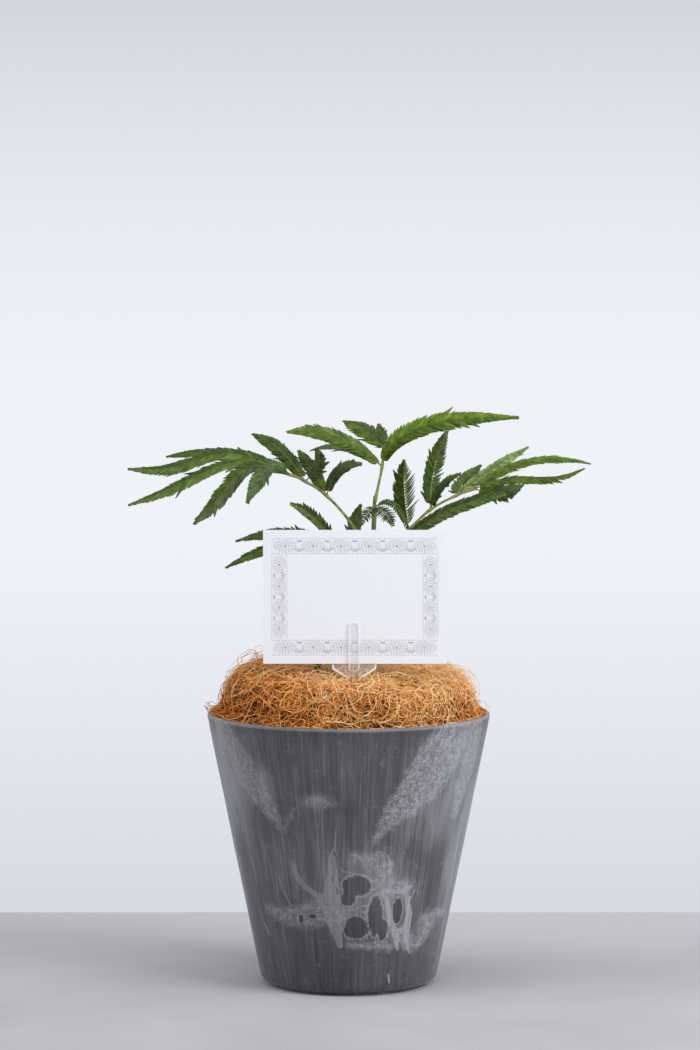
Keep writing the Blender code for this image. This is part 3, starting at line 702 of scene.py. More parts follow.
def fibre_layer(name, settings, surface, corners, kept, material):
    count, lengths, radii, heights, buried, step, curl, tints = settings
    verts, faces, tint_values = [], [], []
    areas = [area for _, area in kept]
    for face, _ in draw.choices(kept, areas, k=count):
        a, b, c = (corners[i] for i in face)
        u, v = sorted((draw.random(), draw.random()))
        start, normal, _, _ = surface.find_nearest(a * u + b * (v - u) + c * (1 - v))
        crown = max(0, 1 - math.hypot(start.x, start.y) / CROWN_RADIUS)
        length = draw.uniform(*lengths)
        height = draw.uniform(*heights) * (1 + CROWN_LIFT * crown)
        points = lay_fibre(surface, start, normal, length, height, buried, step, curl)
        thick = draw.uniform(*radii) * MM
        last = len(points) - 1
        widths = [thick * (0.55 + 0.45 * math.sin(math.pi * i / last)) for i in range(last + 1)]
        before = len(verts)
        sweep(verts, faces, points, widths, FIBRE_SIDES)
        tint_values += [fibre_tint(start, tints)] * (len(verts) - before)
    piece = show(name, mesh_of(name, verts, faces), material)
    set_values(piece.data, "tint", tint_values)
    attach(piece, "root")


coir_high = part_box("coir_mulch")[1]
coir_core = show("coir_core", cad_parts["coir_mulch"].data.copy(), coir_mat())
for vertex in coir_core.data.vertices:
    if vertex.co.z > POT_HEIGHT - MAT_BELOW_RIM:
        vertex.co -= vertex.normal * CORE_INSET
coir_core.data.shade_smooth()
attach(coir_core, "root")
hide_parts("coir_mulch")

coir_material = coir_fibre()
coir_faces = coir_surface()
for name, settings in COIR_LAYERS.items():
    fibre_layer(name, settings, *coir_faces, coir_material)


# ------------------------------------------------------------------------------- trunk
# The young stem: slender, slightly bent, with thin brown bark that turns green near the bud. It is
# rooted in the soil and carries the leaf stalks on small swollen joints.

# Points up the middle of the trunk, with the radius there, in millimetres
TRUNK = [
    ((0, 2, 108), 3.4), ((0, 2, 146), 4.6), ((1, 2, 164), 4.2), ((5, 2, 194), 3.4), ((10, 1, 226), 2.7),
    ((14, 0, 254), 1.9), ((15, 0, 274), 1.4), ((15.3, 0, 283), 1.7), ((15.4, 0, 287), 1.2),
    ((15.2, 0, 289.5), 0.6), ((15, 0, 292.5), 0.35),
]
TRUNK_SIDES = 20
SPAN_STEPS = 8


def smooth_path(points, steps=SPAN_STEPS):
    """Points of a smooth curve through the given ones, which may have a radius as fourth number."""
    ends = [points[0] * 2 - points[1]] + list(points) + [points[-1] * 2 - points[-2]]
    path = []
    for a, b, c, d in zip(ends, ends[1:], ends[2:], ends[3:]):
        bow, twist = a * 2 - b * 5 + c * 4 - d, b * 3 - a - c * 3 + d
        for i in range(steps):
            t = i / steps
            path.append((b * 2 + (c - a) * t + bow * t * t + twist * t ** 3) / 2)
    return path + [points[-1]]


def metres(point):
    return Vector(point) * MM


def trunk_axis(height):
    """The middle of the trunk at a height, in millimetres."""
    for (low, _), (high, _) in zip(TRUNK, TRUNK[1:]):
        if height <= high[2]:
            return Vector(low).lerp(Vector(high), (height - low[2]) / (high[2] - low[2]))
    return Vector(TRUNK[-1][0])


def bark():
    finish = Finish("bark", 0.75)
    fibres = grain(finish.place((1, 1, 0.12)), 1500, 4, 0.6)
    patches = grain(finish.place(), 160, 3)
    height = node(finish.tree, "ShaderNodeSeparateXYZ", {0: finish.place()}, 2)
    brown = ramp(fibres, [
        (0.3, (0.062, 0.042, 0.022)), (0.55, (0.150, 0.110, 0.062)), (0.75, (0.300, 0.240, 0.145)),
    ])
    green = ramp(patches, [(0.3, (0.13, 0.14, 0.045)), (0.7, (0.28, 0.29, 0.11))])
    greening = fade(height, 219 * MM, 279 * MM, 0.1, 0.85) * fade(patches, 0.35, 0.6, 0.5, 1)
    return finish.painted(blend(greening, brown, green), fibres, 0.35 * MM)


def trunk_mesh():
    path = smooth_path([Vector((*metres(point), radius * MM)) for point, radius in TRUNK])
    points = [Vector(p[:3]) for p in path]
    radii = [p[3] * (1 + 0.05 * noise.noise(Vector((0, 0, p[2] * 140)))) for p in path]
    verts, faces = [], []
    sweep(verts, faces, points, radii, TRUNK_SIDES)
    return mesh_of("trunk_bark", verts, faces)


trunk_piece = show("trunk_bark", trunk_mesh(), bark())
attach(trunk_piece, "root")
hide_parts("trunk")


# ------------------------------------------------------------------------------- leaves
# Twice-divided leaves. A wiry green stalk leaves the trunk at a swollen joint and carries feather-
# like pinnae, each a curved midrib with two rows of close, overlapping, sickle-shaped leaflets.

# Leaves, in millimetres. A stalk leaves the middle of the trunk at its height and passes through
# its points. Each pinna has the number of the stalk point that carries it, counted from 1, the
# point in the middle of its midrib, its tip, its full width, the tilt of its face in degrees, how
# far the midrib sways up and then down, and how its left-hand and its right-hand row are held, as
# seen on its face from root to tip.
LEAVES = {
    "left_leaf": {
        "height": 254,
        "stalk": [(1, -3, 277), (-13, -6, 293), (-26, -9, 302), (-35, -11, 306), (-44, -13, 308)],
        "pinnae": [
            (4, (-73, 11, 318), (-110, 28, 314.5), 12, 38, 0.8, "mid", "dark"),
            (5, (-88, -3, 315), (-132, 4, 308.5), 12, 40, 4.5, "olive", "dark"),
            (5, (-87, -22, 307.5), (-130, -26, 289), 12, 32, 3.4, "olive", "dark"),
            (5, (-68.5, -36, 303.5), (-90, -54, 280), 12, 40, 3.8, "grey", "dark"),
            (4, (-49, -38, 310), (-59, -60, 293), 11, 60, 2.0, "grey", "grey"),
            (3, (-41.5, 14, 319.5), (-58, 32, 328), 12, 38, 0, "dark", "dark"),
            (2, (-22, 12, 308), (-30, 28, 318), 10, 40, 0, "dark", "dark"),
            (3, (-18, -22, 312), (-19, -32, 322), 9, 80, 0, "grey", "grey"),
            (2, (-6, -22, 308.5), (7, -38, 314), 7.5, 75, 0, "grey", "grey"),
        ],
    },
    "top_leaf": {
        "height": 288,
        "stalk": [(18, 2, 300), (20, 4, 310), (21, 12, 320)],
        "pinnae": [
            (2, (-8, -6, 328.5), (-36, -16, 331.5), 12.5, 52, 0, "mid", "olive"),
            (2, (-2, 18, 321), (-23, 32, 318), 10, 30, 0, "grey", "mid"),
            (3, (10.5, 30, 330), (-3, 50, 335), 16, 38, 0, "mid", "dark"),
            (2, (43, -8, 334), (101, -12, 340), 14, 60, 0, "bright", "mid"),
            (3, (20, 38, 325), (18.5, 60, 332.5), 10, 50, 0, "dark", "dark"),
        ],
    },
    "right_leaf": {
        "height": 247.3,
        "stalk": [(26, 2, 261), (36, 4, 272), (49, 6, 284), (64, 9, 292), (75, 11, 296)],
        "pinnae": [
            (1, (62, -18, 286.5), (92, -37, 296), 12, 48, 0.6, "dark", "olive"),
            (2, (33, -4, 294.5), (33, -12, 314), 14, 80, 0, "dark", "open"),
            (3, (51, 17, 307), (60, 30, 331), 12, 80, 0, "dark", "loose"),
            (3, (55, -10, 299), (65.5, -24, 307), 6, 60, 0, "comb", "dark"),
            (4, (70, 30, 300), (80, 48, 308), 13, 40, 0, "mid", "grey"),
            (4, (86, 32, 307), (109, 50, 319), 10, 34, 0, "pale", "pale"),
            (5, (92, -6, 295.5), (103, -30, 301), 14, 62, 0, "dark", "dark"),
            (5, (109, 24, 312), (146, 32, 310), 11, 26, 0, "mid", "mid"),
            (5, (108.5, 4, 302.5), (140, -4, 309), 11, 26, 2.2, "dark", "mid"),
        ],
    },
    "low_left_leaf": {
        "height": 232,
        "stalk": [(2, 9, 254), (-7, 14, 262), (-16, 17, 265)],
        "pinnae": [
            (3, (-44, 8, 262), (-73, -2, 250), 11, 30, 0, "mid", "dark"),
            (3, (-39, 26, 269), (-68, 34, 263), 12, 35, 0, "grey", "comb"),
            (2, (-20, 4, 279), (-34, -6, 288), 8, 75, 0, "pale", "comb"),
            (1, (3, 17, 271), (7, 22, 285), 10, 80, 0, "dark", "grey"),
        ],
    },
    "lowest_leaf": {
        "height": 208,
        "stalk": [(2, -5, 216), (-5, -12, 214)],
        "pinnae": [
            (2, (-13, -21, 205), (-19, -28.5, 192), 10.5, 66, 0, "mid", "dark"),
            (1, (10, -18, 212), (16, -28, 204), 9, 50, 0, "dark", "mid"),
        ],
    },
}

# Young leaf at the bud: pinnae that grow straight from the trunk's top
YOUNG_ROOT = (16, 0, 286)
YOUNG_PINNAE = [
    ((26, -12, 288.5), (34.5, -23, 275.5), 6, 50, 0, "comb", "wire"),
    ((22, -15, 283), (26, -26, 277), 10, 60, 0, "wire", "wire"),
    ((11, -13, 283), (7, -22, 277), 9, 60, 0, "wire", "wire"),
]

# How a row of leaflets is held: angle to the midrib, turn about their own length and fold of the
# row off the face in degrees; shade at their root and tip from 0, the darkest green, to 1, the
# palest, which is painted light and shade for lit and shaded rows and parts of leaflets; how much of
# their greyer underside shows; and their breadth
ROWS = {
    "dark": (40, 5, -6, 0.10, 0.22, 0.05, 1.0), "mid": (40, 5, -8, 0.28, 0.40, 0.05, 1.0),
    "olive": (40, 4, -8, 0.28, 0.46, 0.26, 1.0), "bright": (42, 6, -6, 0.42, 0.56, 0.0, 1.0),
    "grey": (40, 6, -10, 0.14, 0.30, 0.55, 1.0), "pale": (38, 8, -14, 0.50, 0.74, 0.50, 0.95),
    "comb": (50, 16, -2, 0.26, 0.12, 0.20, 0.66), "open": (46, 36, -2, 0.70, 0.14, 0.6, 0.42),
    "loose": (44, 16, -4, 0.30, 0.12, 0.30, 0.62), "wire": (58, 4, 0, 0.06, 0.04, 0.10, 0.48),
}
STALK_SIDES = 12
PINNA_JOINT_SIDES = 10
MIDRIB_SIDES = 8
STALK_BASE_RADIUS = 0.95 * MM
STALK_END_RADIUS = 0.65 * MM
JOINT_SWELLING = 0.39 * MM
JOINT_REACH = 3.0 * MM
FIRST_JOINT = 3.0 * MM
PINNA_JOINT_SWELLING = 0.2925 * MM
PINNA_JOINT_REACH = 1.8 * MM
MIDRIB_RADIUS = 0.36 * MM
BARE_MIDRIB = 4.3 * MM
YOUNG_BARE_MIDRIB = 3.2 * MM
LEAFLET_PITCH = 1.9 * MM
LEAFLET_WIDTH = 3.0 * MM
LEAFLET_THICKNESS = 0.16 * MM
LEAFLET_OPENING = 0.16
LEAFLET_CLOSING = 0.62
LEAFLET_DROOP = 0.05
LEAFLET_CURVE = 0.10
EDGE_DROP = 0.16
VEIN_RAISED = 1.6
LEAFLET_SIDES = 6
LEAFLET_MARKS = (0.05, 0.18, 0.38, 0.60, 0.80, 0.93)
LONGER_LEAFLETS = 0.05
LONGER_ANGLE = 9
LONGER_REACH = 1.12
SHORTEST_LEAFLET = 3.0 * MM
SHORTEST_AT_TIP = 2.1 * MM
TIP_START = 0.88
PINNA_OPENING = 0.42
PINNA_CLOSING = 0.30
PINNA_NECK = 1.7 * MM
TIP_ANGLE_SHARE = 0.55
MIDRIB_SPANS = 24
MIDRIB_TAPER = 0.65
MIDRIB_SHADE = 0.45
MIDRIB_UNDERSIDE = 0.2
SLIMMEST_ANGLE = 14
LAST_PAIR_SHARE = 0.98

# How the leaflets of a row differ: the length of the ripple along the row, in metres, with the
# degrees and the share of their reach that it moves them by, and the spread of their own angles
# and turns in degrees, of their reach, and of their shade
RIPPLE_LENGTH = 9 * MM
RIPPLE_ANGLE = 4
RIPPLE_REACH = 0.06
ANGLE_SPREAD = 1.5
LEAN_SPREAD = 2.5
TURN_SPREAD = 4
REACH_SPREAD = 0.04
SHADE_SPREAD = 0.06


def on_midrib(root, middle, tip, sway, t):
    """Point of the parabola from root through middle to tip, swayed up in its first half, then down."""
    pull = 2 * middle - (root + tip) / 2
    swayed = Vector((0, 0, sway * MM * math.sin(2 * math.pi * t)))
    return (1 - t) ** 2 * root + 2 * t * (1 - t) * pull + t ** 2 * tip + swayed


def half_width(share, width):
    """Half the pinna's width at a share of its length: a neck, a full middle, a pointed tip."""
    opening = math.sin(min(1.0, share / PINNA_OPENING) * math.pi / 2)
    closing = min(1.0, (1.0 - share) / PINNA_CLOSING) ** 0.7
    return (PINNA_NECK + (width / 2 - PINNA_NECK) * opening) * closing


def distances_along(path):
    """How far along the path each of its points lies."""
    walked = [0.0]
    for a, b in zip(path, path[1:]):
        walked.append(walked[-1] + (b - a).length)
    return walked


def leaflet_reach(share, angle, width, length):
    """How long a leaflet is so that its tip ends on the pinna's outline."""
    reach = half_width(share, width)
    for _ in range(8):
        landing = min(0.99, share + reach * math.cos(angle) / length)
        reach = (reach + half_width(landing, width) / math.sin(angle)) / 2
    into_tip = max(0, (share - TIP_START) / (1 - TIP_START))
    return max(reach, SHORTEST_LEAFLET + (SHORTEST_AT_TIP - SHORTEST_LEAFLET) * into_tip)


def add_leaflet(verts, faces, root, ahead, face, length, width, curve):
    """A thin sickle-shaped leaflet with a raised middle vein, from root along ahead."""
    aside = face.cross(ahead).normalized()

    def along_leaflet(t):
        sickle = aside * (curve * length * (t * t - 0.35 * t))
        return root + ahead * (length * t) + sickle - face * (LEAFLET_DROOP * length * t * t)

    first = len(verts)
    verts.append(root)
    for t in LEAFLET_MARKS:
        half = width / 2 * min(1, t / LEAFLET_OPENING) ** 0.5 * min(1, (1 - t) / LEAFLET_CLOSING) ** 0.65
        edge = face * -EDGE_DROP * half
        skin = face * LEAFLET_THICKNESS / 2
        vein = skin * VEIN_RAISED
        middle = along_leaflet(t)
        verts += [
            middle - aside * half + edge, middle - aside * half * 0.5 + skin, middle + vein,
            middle + aside * half * 0.5 + skin, middle + aside * half + edge, middle - vein,
        ]
    verts.append(along_leaflet(1))
    last = len(verts) - 1
    wrap(faces, first + 1, LEAFLET_SIDES, len(LEAFLET_MARKS))
    for k in range(LEAFLET_SIDES):
        after = (k + 1) % LEAFLET_SIDES
        faces.append((first, first + 1 + after, first + 1 + k))
        faces.append((last - LEAFLET_SIDES + k, last - LEAFLET_SIDES + after, last))


def pinna_mesh(name, root, bare, middle, tip, width, tilt, sway, *rows):
    """One pinna: its midrib and two rows of leaflets, with the painted light and shade of each point."""

    def midrib_at(t):
        return on_midrib(root, middle, tip, sway, t)

    def share_at(distance):
        """How far along the midrib's curve a distance from its root ends, as a share of the curve."""
        passed = max(i for i in range(MIDRIB_SPANS) if walked[i] <= distance)
        into_span = (distance - walked[passed]) / (walked[passed + 1] - walked[passed])
        return (passed + into_span) / MIDRIB_SPANS

    shares = [i / MIDRIB_SPANS for i in range(MIDRIB_SPANS + 1)]
    marks = [midrib_at(share) for share in shares]
    walked = distances_along(marks)
    length = walked[-1]
    facing = Vector((0, -math.sin(math.radians(tilt)), math.cos(math.radians(tilt))))
    verts, faces = [], []
    radii = [MIDRIB_RADIUS * (1 - MIDRIB_TAPER * share) for share in shares]
    sweep(verts, faces, marks, radii, MIDRIB_SIDES)
    shades = [MIDRIB_SHADE] * len(verts)
    undersides = [MIDRIB_UNDERSIDE] * len(verts)
    pairs = max(6, round((length - bare) / LEAFLET_PITCH))
    for number in range(pairs):
        share = number / (pairs - 1)
        t = share_at(bare + (length - bare) * share * LAST_PAIR_SHARE)
        place = midrib_at(t)
        along = (midrib_at(t + 0.02) - midrib_at(t - 0.02)).normalized()
        across = facing.cross(along).normalized()
        normal = along.cross(across)
        for side, row in ((1, rows[0]), (-1, rows[1])):
            angle, twist, fold, root_painted_light, tip_painted_light, underside, breadth = ROWS[row]
            ripple = noise.noise(Vector((t * length / RIPPLE_LENGTH, side * 5.0, root.x * 300)))
            angle *= 1 - (1 - TIP_ANGLE_SHARE) * share ** 2
            angle += RIPPLE_ANGLE * ripple + draw.gauss(0, ANGLE_SPREAD)
            reach = leaflet_reach(t, math.radians(max(angle, SLIMMEST_ANGLE)), width * MM, length)
            reach *= 1 + RIPPLE_REACH * ripple + draw.gauss(0, REACH_SPREAD)
            if draw.random() < LONGER_LEAFLETS:
                angle += LONGER_ANGLE
                reach *= LONGER_REACH
            angle = math.radians(max(angle, SLIMMEST_ANGLE))
            lean = math.radians(fold + draw.gauss(0, LEAN_SPREAD))
            outward = across * side * math.cos(lean) + normal * math.sin(lean)
            ahead = along * math.cos(angle) + outward * math.sin(angle)
            face = outward.cross(along) * -side
            face = (face - ahead * face.dot(ahead)).normalized()
            face.rotate(Quaternion(ahead, math.radians(twist * side + draw.gauss(0, TURN_SPREAD))))
            before = len(verts)
            leaf_width = min(LEAFLET_WIDTH, 0.7 * reach + 0.6 * MM) * breadth
            add_leaflet(verts, faces, place, ahead, face, reach, leaf_width, -LEAFLET_CURVE * side)
            own = draw.gauss(0, SHADE_SPREAD)
            added = len(verts) - before
            # Painted light and shade along each leaflet, with its own random tone.
            shades += [root_painted_light + (tip_painted_light - root_painted_light) * i / added + own for i in range(added)]
            undersides += [limited(underside + draw.gauss(0, SHADE_SPREAD))] * added
    mesh = mesh_of(name, verts, faces)
    set_values(mesh, "shade", shades)
    set_values(mesh, "underside", undersides)
    return mesh


def leaflet_green():
    finish = Finish("leaflet_green", 0.55, {
        "Specular IOR Level": 0.15, "Subsurface Weight": 0.08, "Subsurface Scale": 1.0,
        "Subsurface Radius": (0.6 * MM, 1.2 * MM, 0.3 * MM),
    })
    # The shade attribute is painted light and shade, varied at random.
    shade = finish.read("shade") + fade(grain(finish.place(), 260, 4), 0.3, 0.7, -0.10, 0.10)
    upper = ramp(shade, [
        (0.0, (0.018, 0.036, 0.003)), (0.3, (0.062, 0.108, 0.007)), (0.55, (0.128, 0.205, 0.014)),
        (0.8, (0.275, 0.365, 0.050)), (1.0, (0.50, 0.58, 0.20)),
    ])
    under = ramp(shade, [
        (0.0, (0.036, 0.056, 0.026)), (0.4, (0.110, 0.150, 0.074)), (0.7, (0.25, 0.32, 0.16)),
        (1.0, (0.48, 0.55, 0.34)),
    ])
    colour = blend(finish.read("underside"), upper, under)
    return finish.painted(colour, grain(finish.place(), 1600, 2), 0.08 * MM, 0.5)


def stem_green():
    finish = Finish("stem_green", 0.5, {"Specular IOR Level": 0.3})
    colour = ramp(grain(finish.place(), 320, 4, 0.6), [
        (0.3, (0.11, 0.12, 0.030)), (0.55, (0.26, 0.27, 0.080)), (0.75, (0.44, 0.44, 0.18)),
    ])
    return finish.painted(colour, grain(finish.place(), 2200, 3), 0.08 * MM, 0.6)


def stalk_mesh(name, leaf):
    """A leaf's stalk with swollen joints at the trunk and where each pinna starts."""
    marks = [metres(trunk_axis(leaf["height"]))] + [metres(point) for point in leaf["stalk"]]
    path = smooth_path(marks)
    walked = distances_along(path)
    joints = [walked[i * SPAN_STEPS] for i in range(2, len(marks))] + [FIRST_JOINT]
    radii = []
    for distance in walked:
        taper = STALK_BASE_RADIUS + (STALK_END_RADIUS - STALK_BASE_RADIUS) * distance / walked[-1]
        nearest = min(abs(distance - joint) for joint in joints)
        radii.append(taper + JOINT_SWELLING * bell(nearest, JOINT_REACH))
    verts, faces = [], []
    sweep(verts, faces, path, radii, STALK_SIDES)
    for carrier, middle, tip, _, _, sway, *_ in leaf["pinnae"]:
        root = marks[carrier]
        side = [on_midrib(root, metres(middle), metres(tip), sway, i * 0.02) for i in range(7)]
        near = [point for point in side if (point - root).length < BARE_MIDRIB]
        swellings = [bell((point - root).length, PINNA_JOINT_REACH) for point in near]
        widths = [MIDRIB_RADIUS + PINNA_JOINT_SWELLING * swelling for swelling in swellings]
        sweep(verts, faces, near, widths, PINNA_JOINT_SIDES)
    return mesh_of(name, verts, faces)


leaf_material = leaflet_green()
stem_material = stem_green()


def put_pinna(name, root, bare, middle, tip, *form):
    mesh = pinna_mesh(f"{name}_leaflets", root, bare, metres(middle), metres(tip), *form)
    piece = show(f"{name}_leaflets", mesh, leaf_material)
    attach(piece, "root")
    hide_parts(name)


for leaf_name, leaf in LEAVES.items():
    stalk = show(f"{leaf_name}_stem", stalk_mesh(f"{leaf_name}_stem", leaf), stem_material)
    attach(stalk, "root")
    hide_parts(f"{leaf_name}_stalk")
    for number, (carrier, *pinna) in enumerate(leaf["pinnae"], start=1):
        put_pinna(f"{leaf_name}_pinna_{number}", metres(leaf["stalk"][carrier - 1]), BARE_MIDRIB, *pinna)
for number, pinna in enumerate(YOUNG_PINNAE, start=1):
    put_pinna(f"young_leaf_pinna_{number}", metres(YOUNG_ROOT), YOUNG_BARE_MIDRIB, *pinna)


# ------------------------------------------------------------------------------- message card
# Stiff white card with a printed ornamental border in pale lilac grey: a row of lacy medallions set
# side by side round a bare panel. It stands in the pick's slot and leans on nothing else.

CARD_MARGIN = 4.9 * MM
BORDER_BAND = 9.3 * MM
PRINT_LAYER = 0.02 * MM
PRINT_EDGE = 0.15 * MM
CARD_CORNER = 0.4 * MM
MOTIFS_ACROSS = 6
MOTIFS_DOWN = 4

# Rings of petals in one medallion, in shares of its cell: inner radius, petals, their length and
# width, and how far each petal leans off the ring's radius in degrees
MEDALLION = [
    (0.0, 6, 0.075, 0.05, 0), (0.10, 9, 0.10, 0.065, 20), (0.215, 15, 0.10, 0.060, -20),
    (0.325, 22, 0.10, 0.054, 20),
]
MEDALLION_WIDTH = 1.02

# The dashes above and below a medallion: how many, their pitch, length and width, and their level
EDGE_DASHES = 9
DASH_PITCH = 0.105
DASH_LENGTH = 0.09
DASH_WIDTH = 0.05
DASH_LEVEL = 0.475

# The fans between two medallions: strokes, their width, the angle they spread over in degrees, the
# level of their feet and the gap at them, and how far the lower and the upper fan reach
FAN_STROKES = 5
FAN_STROKE_WIDTH = 0.045
FAN_SPREAD = 70
FAN_LEVEL = 0.43
FAN_GAP = 0.05
FAN_REACHES = ((-1, 1, 0.34), (1, -1, 0.16))


def stroke_outline(start, heading, length, width, steps=4):
    """A straight stroke, pointed at both ends, as a flat outline."""
    ahead = (math.cos(heading), math.sin(heading))
    left, right = [], []
    for i in range(steps + 1):
        along = length * i / steps
        half = width / 2 * abs(math.sin(math.pi * i / steps)) ** 0.6
        x, y = start[0] + ahead[0] * along, start[1] + ahead[1] * along
        left.append((x - ahead[1] * half, y + ahead[0] * half))
        right.append((x + ahead[1] * half, y - ahead[0] * half))
    return left + right[-2:0:-1]


def medallion(last):
    """Outlines of one medallion, with a row of dashes above and below it and a fan beside it."""
    outlines = []
    for radius, petals, length, width, lean in MEDALLION:
        for i in range(petals):
            angle = 2 * math.pi * (i + 0.5) / petals
            start = (radius * math.cos(angle), radius * math.sin(angle))
            outline = stroke_outline(start, angle + math.radians(lean), length, width)
            outlines.append([(x * MEDALLION_WIDTH, y) for x, y in outline])
    for i in range(EDGE_DASHES):
        x = (i - (EDGE_DASHES - 1) / 2) * DASH_PITCH - DASH_LENGTH / 2
        for y in (-DASH_LEVEL, DASH_LEVEL):
            outlines.append(stroke_outline((x, y), 0, DASH_LENGTH, DASH_WIDTH))
    for i in range(0 if last else FAN_STROKES):
        spread = math.radians(FAN_SPREAD * (i / (FAN_STROKES - 1) - 0.5))
        for side, upward, reach in FAN_REACHES:
            heading = upward * (math.pi / 2 + spread)
            start = (0.5 + FAN_GAP * math.cos(heading), side * FAN_LEVEL + FAN_GAP * math.sin(heading))
            outlines.append(stroke_outline(start, heading, reach, FAN_STROKE_WIDTH))
    return outlines


def add_motif(verts, faces, centre, size, upright, last):
    """One medallion in its cell on the card's front, as thin flat plates."""
    front = card_low.y
    for outline in medallion(last):
        first = len(verts)
        for depth in (-PRINT_LAYER, 0.5 * PRINT_LAYER):
            for u, v in outline:
                x, y = u * size[0], v * size[1]
                if upright:
                    x, y = -y, x
                verts.append(Vector((centre[0] + x, front + depth, centre[1] + y)))
        faces.append(tuple(first + k for k in reversed(range(len(outline)))))
        wrap(faces, first, len(outline), 2)


def border_print():
    verts, faces = [], []
    left, right = card_low.x + CARD_MARGIN, card_high.x - CARD_MARGIN
    bottom, top = card_low.z + CARD_MARGIN, card_high.z - CARD_MARGIN
    half = BORDER_BAND / 2
    for upright, motifs, start, end, rows in (
        (False, MOTIFS_ACROSS, left, right, (bottom + half, top - half)),
        (True, MOTIFS_DOWN, bottom + BORDER_BAND, top - BORDER_BAND, (left + half, right - half)),
    ):
        pitch = (end - start) / motifs
        for i in range(motifs):
            along = start + pitch * (i + 0.5)
            for row in rows:
                centre = (row, along) if upright else (along, row)
                add_motif(verts, faces, centre, (pitch, BORDER_BAND), upright, i == motifs - 1)
    return mesh_of("card_border_print", verts, faces, smooth=False)


def card_board():
    finish = Finish("card_board", 0.6)
    across = node(finish.tree, "ShaderNodeSeparateXYZ", {0: finish.place()})

    def past(value, low, high):
        """How far a place lies outside the border's outer edges, less than nothing inside them."""
        return calc("ABSOLUTE", value - (low + high) / 2) - ((high - low) / 2 - CARD_MARGIN)

    outside = past(across, card_low.x, card_high.x)
    outside = calc("MAXIMUM", outside, past(across.other(2), card_low.z, card_high.z))
    band = fade(outside, -PRINT_EDGE, PRINT_EDGE, 1, 0)
    band *= fade(outside, -BORDER_BAND - PRINT_EDGE, -BORDER_BAND + PRINT_EDGE)
    fibres = grain(finish.place(), 900, 4, 0.6)
    white = ramp(fibres, [(0.3, (0.77, 0.79, 0.84)), (0.7, (0.82, 0.835, 0.87))])
    return finish.painted(blend(0.30 * band, white, (0.70, 0.69, 0.74)), fibres, 0.03 * MM, 0.4)


def border_ink():
    finish = Finish("border_ink", 0.65)
    return finish.painted(ramp(grain(finish.place(), 500, 3), [
        (0.35, (0.45, 0.435, 0.49)), (0.65, (0.55, 0.535, 0.59)),
    ]))


def block(low, high):
    """A box between two corners, as a bmesh."""
    shape = bmesh.new()
    bmesh.ops.create_cube(shape, size=1)
    for vertex in shape.verts:
        vertex.co = (low + high) / 2 + Vector([a * b for a, b in zip(vertex.co, high - low)])
    return shape


card_shape = block(card_low, card_high)
half_thickness = (card_high.y - card_low.y) / 2
corners = [e for e in card_shape.edges if abs(e.verts[0].co.y - e.verts[1].co.y) > half_thickness]
bmesh.ops.bevel(card_shape, geom=corners, offset=CARD_CORNER, segments=4, profile=0.5, affect="EDGES")
card_piece = show("card_board", mesh_from("card_board", card_shape), card_board())
border_piece = show("card_border_print", border_print(), border_ink())
for piece in (card_piece, border_piece):
    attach(piece, "root")
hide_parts("message_card")


# ------------------------------------------------------------------------------- card pick
# Moulded in one piece from clear plastic: a shield-shaped back plate and a tongue in front of it
# grip the card, and the pointed stake below them is pushed into the mulch. Every edge is rounded.

PICK_EDGE = 0.3 * MM
PICK_WELD = 0.02 * MM
FLAT_BELOW = math.radians(1)
ROUNDED_ABOVE = math.radians(60)
PICK_SHARP_FROM = math.radians(35)
PICK_X = 3.2 * MM
PLATE_THICKNESS = 1.4 * MM
TONGUE_THICKNESS = 1.2 * MM
PLATE_BEAD = 0.6 * MM
TONGUE_BEAD = 0.2 * MM
RIM_STEPS = 5
RIM_SIDES = 10

# Middle of the rim of the plate, and of the tongue, a bead painted white as the highlight along the
# clear plastic's edges: right half, across and up, in millimetres
PLATE_RIM = [
    (1.4, 170), (1.4, 182), (2.3, 185.2), (5.0, 188.6), (10.6, 192.2), (12.6, 195.6), (12.6, 214.8),
    (10.9, 221.1), (6.3, 225.8), (0, 227.4),
]
TONGUE_RIM = [
    (0, 191.9), (1.6, 192.4), (2.6, 193.6), (2.85, 195), (2.85, 217.6), (2.4, 219.3), (1.3, 220.4),
    (0, 220.7),
]


def clear_plastic():
    finish = Finish("clear_plastic", 0.08, {"Alpha": 0.16})
    tint = ramp(grain(finish.place(), 60), [(0.3, (0.80, 0.82, 0.86)), (0.7, (0.88, 0.89, 0.92))])
    return finish.painted(tint, grain(finish.place(), 120, 2), 0.1 * MM, 0.3)


def highlight_rim_plastic():
    """A white bead on the thick, rounded edges, painted as the highlight where the clear plastic catches
    the light.
    """
    finish = Finish("highlight_rim_plastic", 0.12)
    tint = ramp(grain(finish.place(), 90), [(0.3, (0.88, 0.89, 0.92)), (0.7, (0.95, 0.95, 0.97))])
    return finish.painted(tint, grain(finish.place(), 150, 2), 0.1 * MM, 0.3)


def add_rim(verts, faces, right, depth, radius):
    left = [(-across, up) for across, up in reversed(right)]
    outline = right + (left[1:] if right[-1][0] == 0 else left)
    corners = [Vector((PICK_X + across * MM, depth, up * MM)) for across, up in outline]
    path = smooth_path(corners, RIM_STEPS)
    sweep(verts, faces, path, [radius] * len(path), RIM_SIDES)


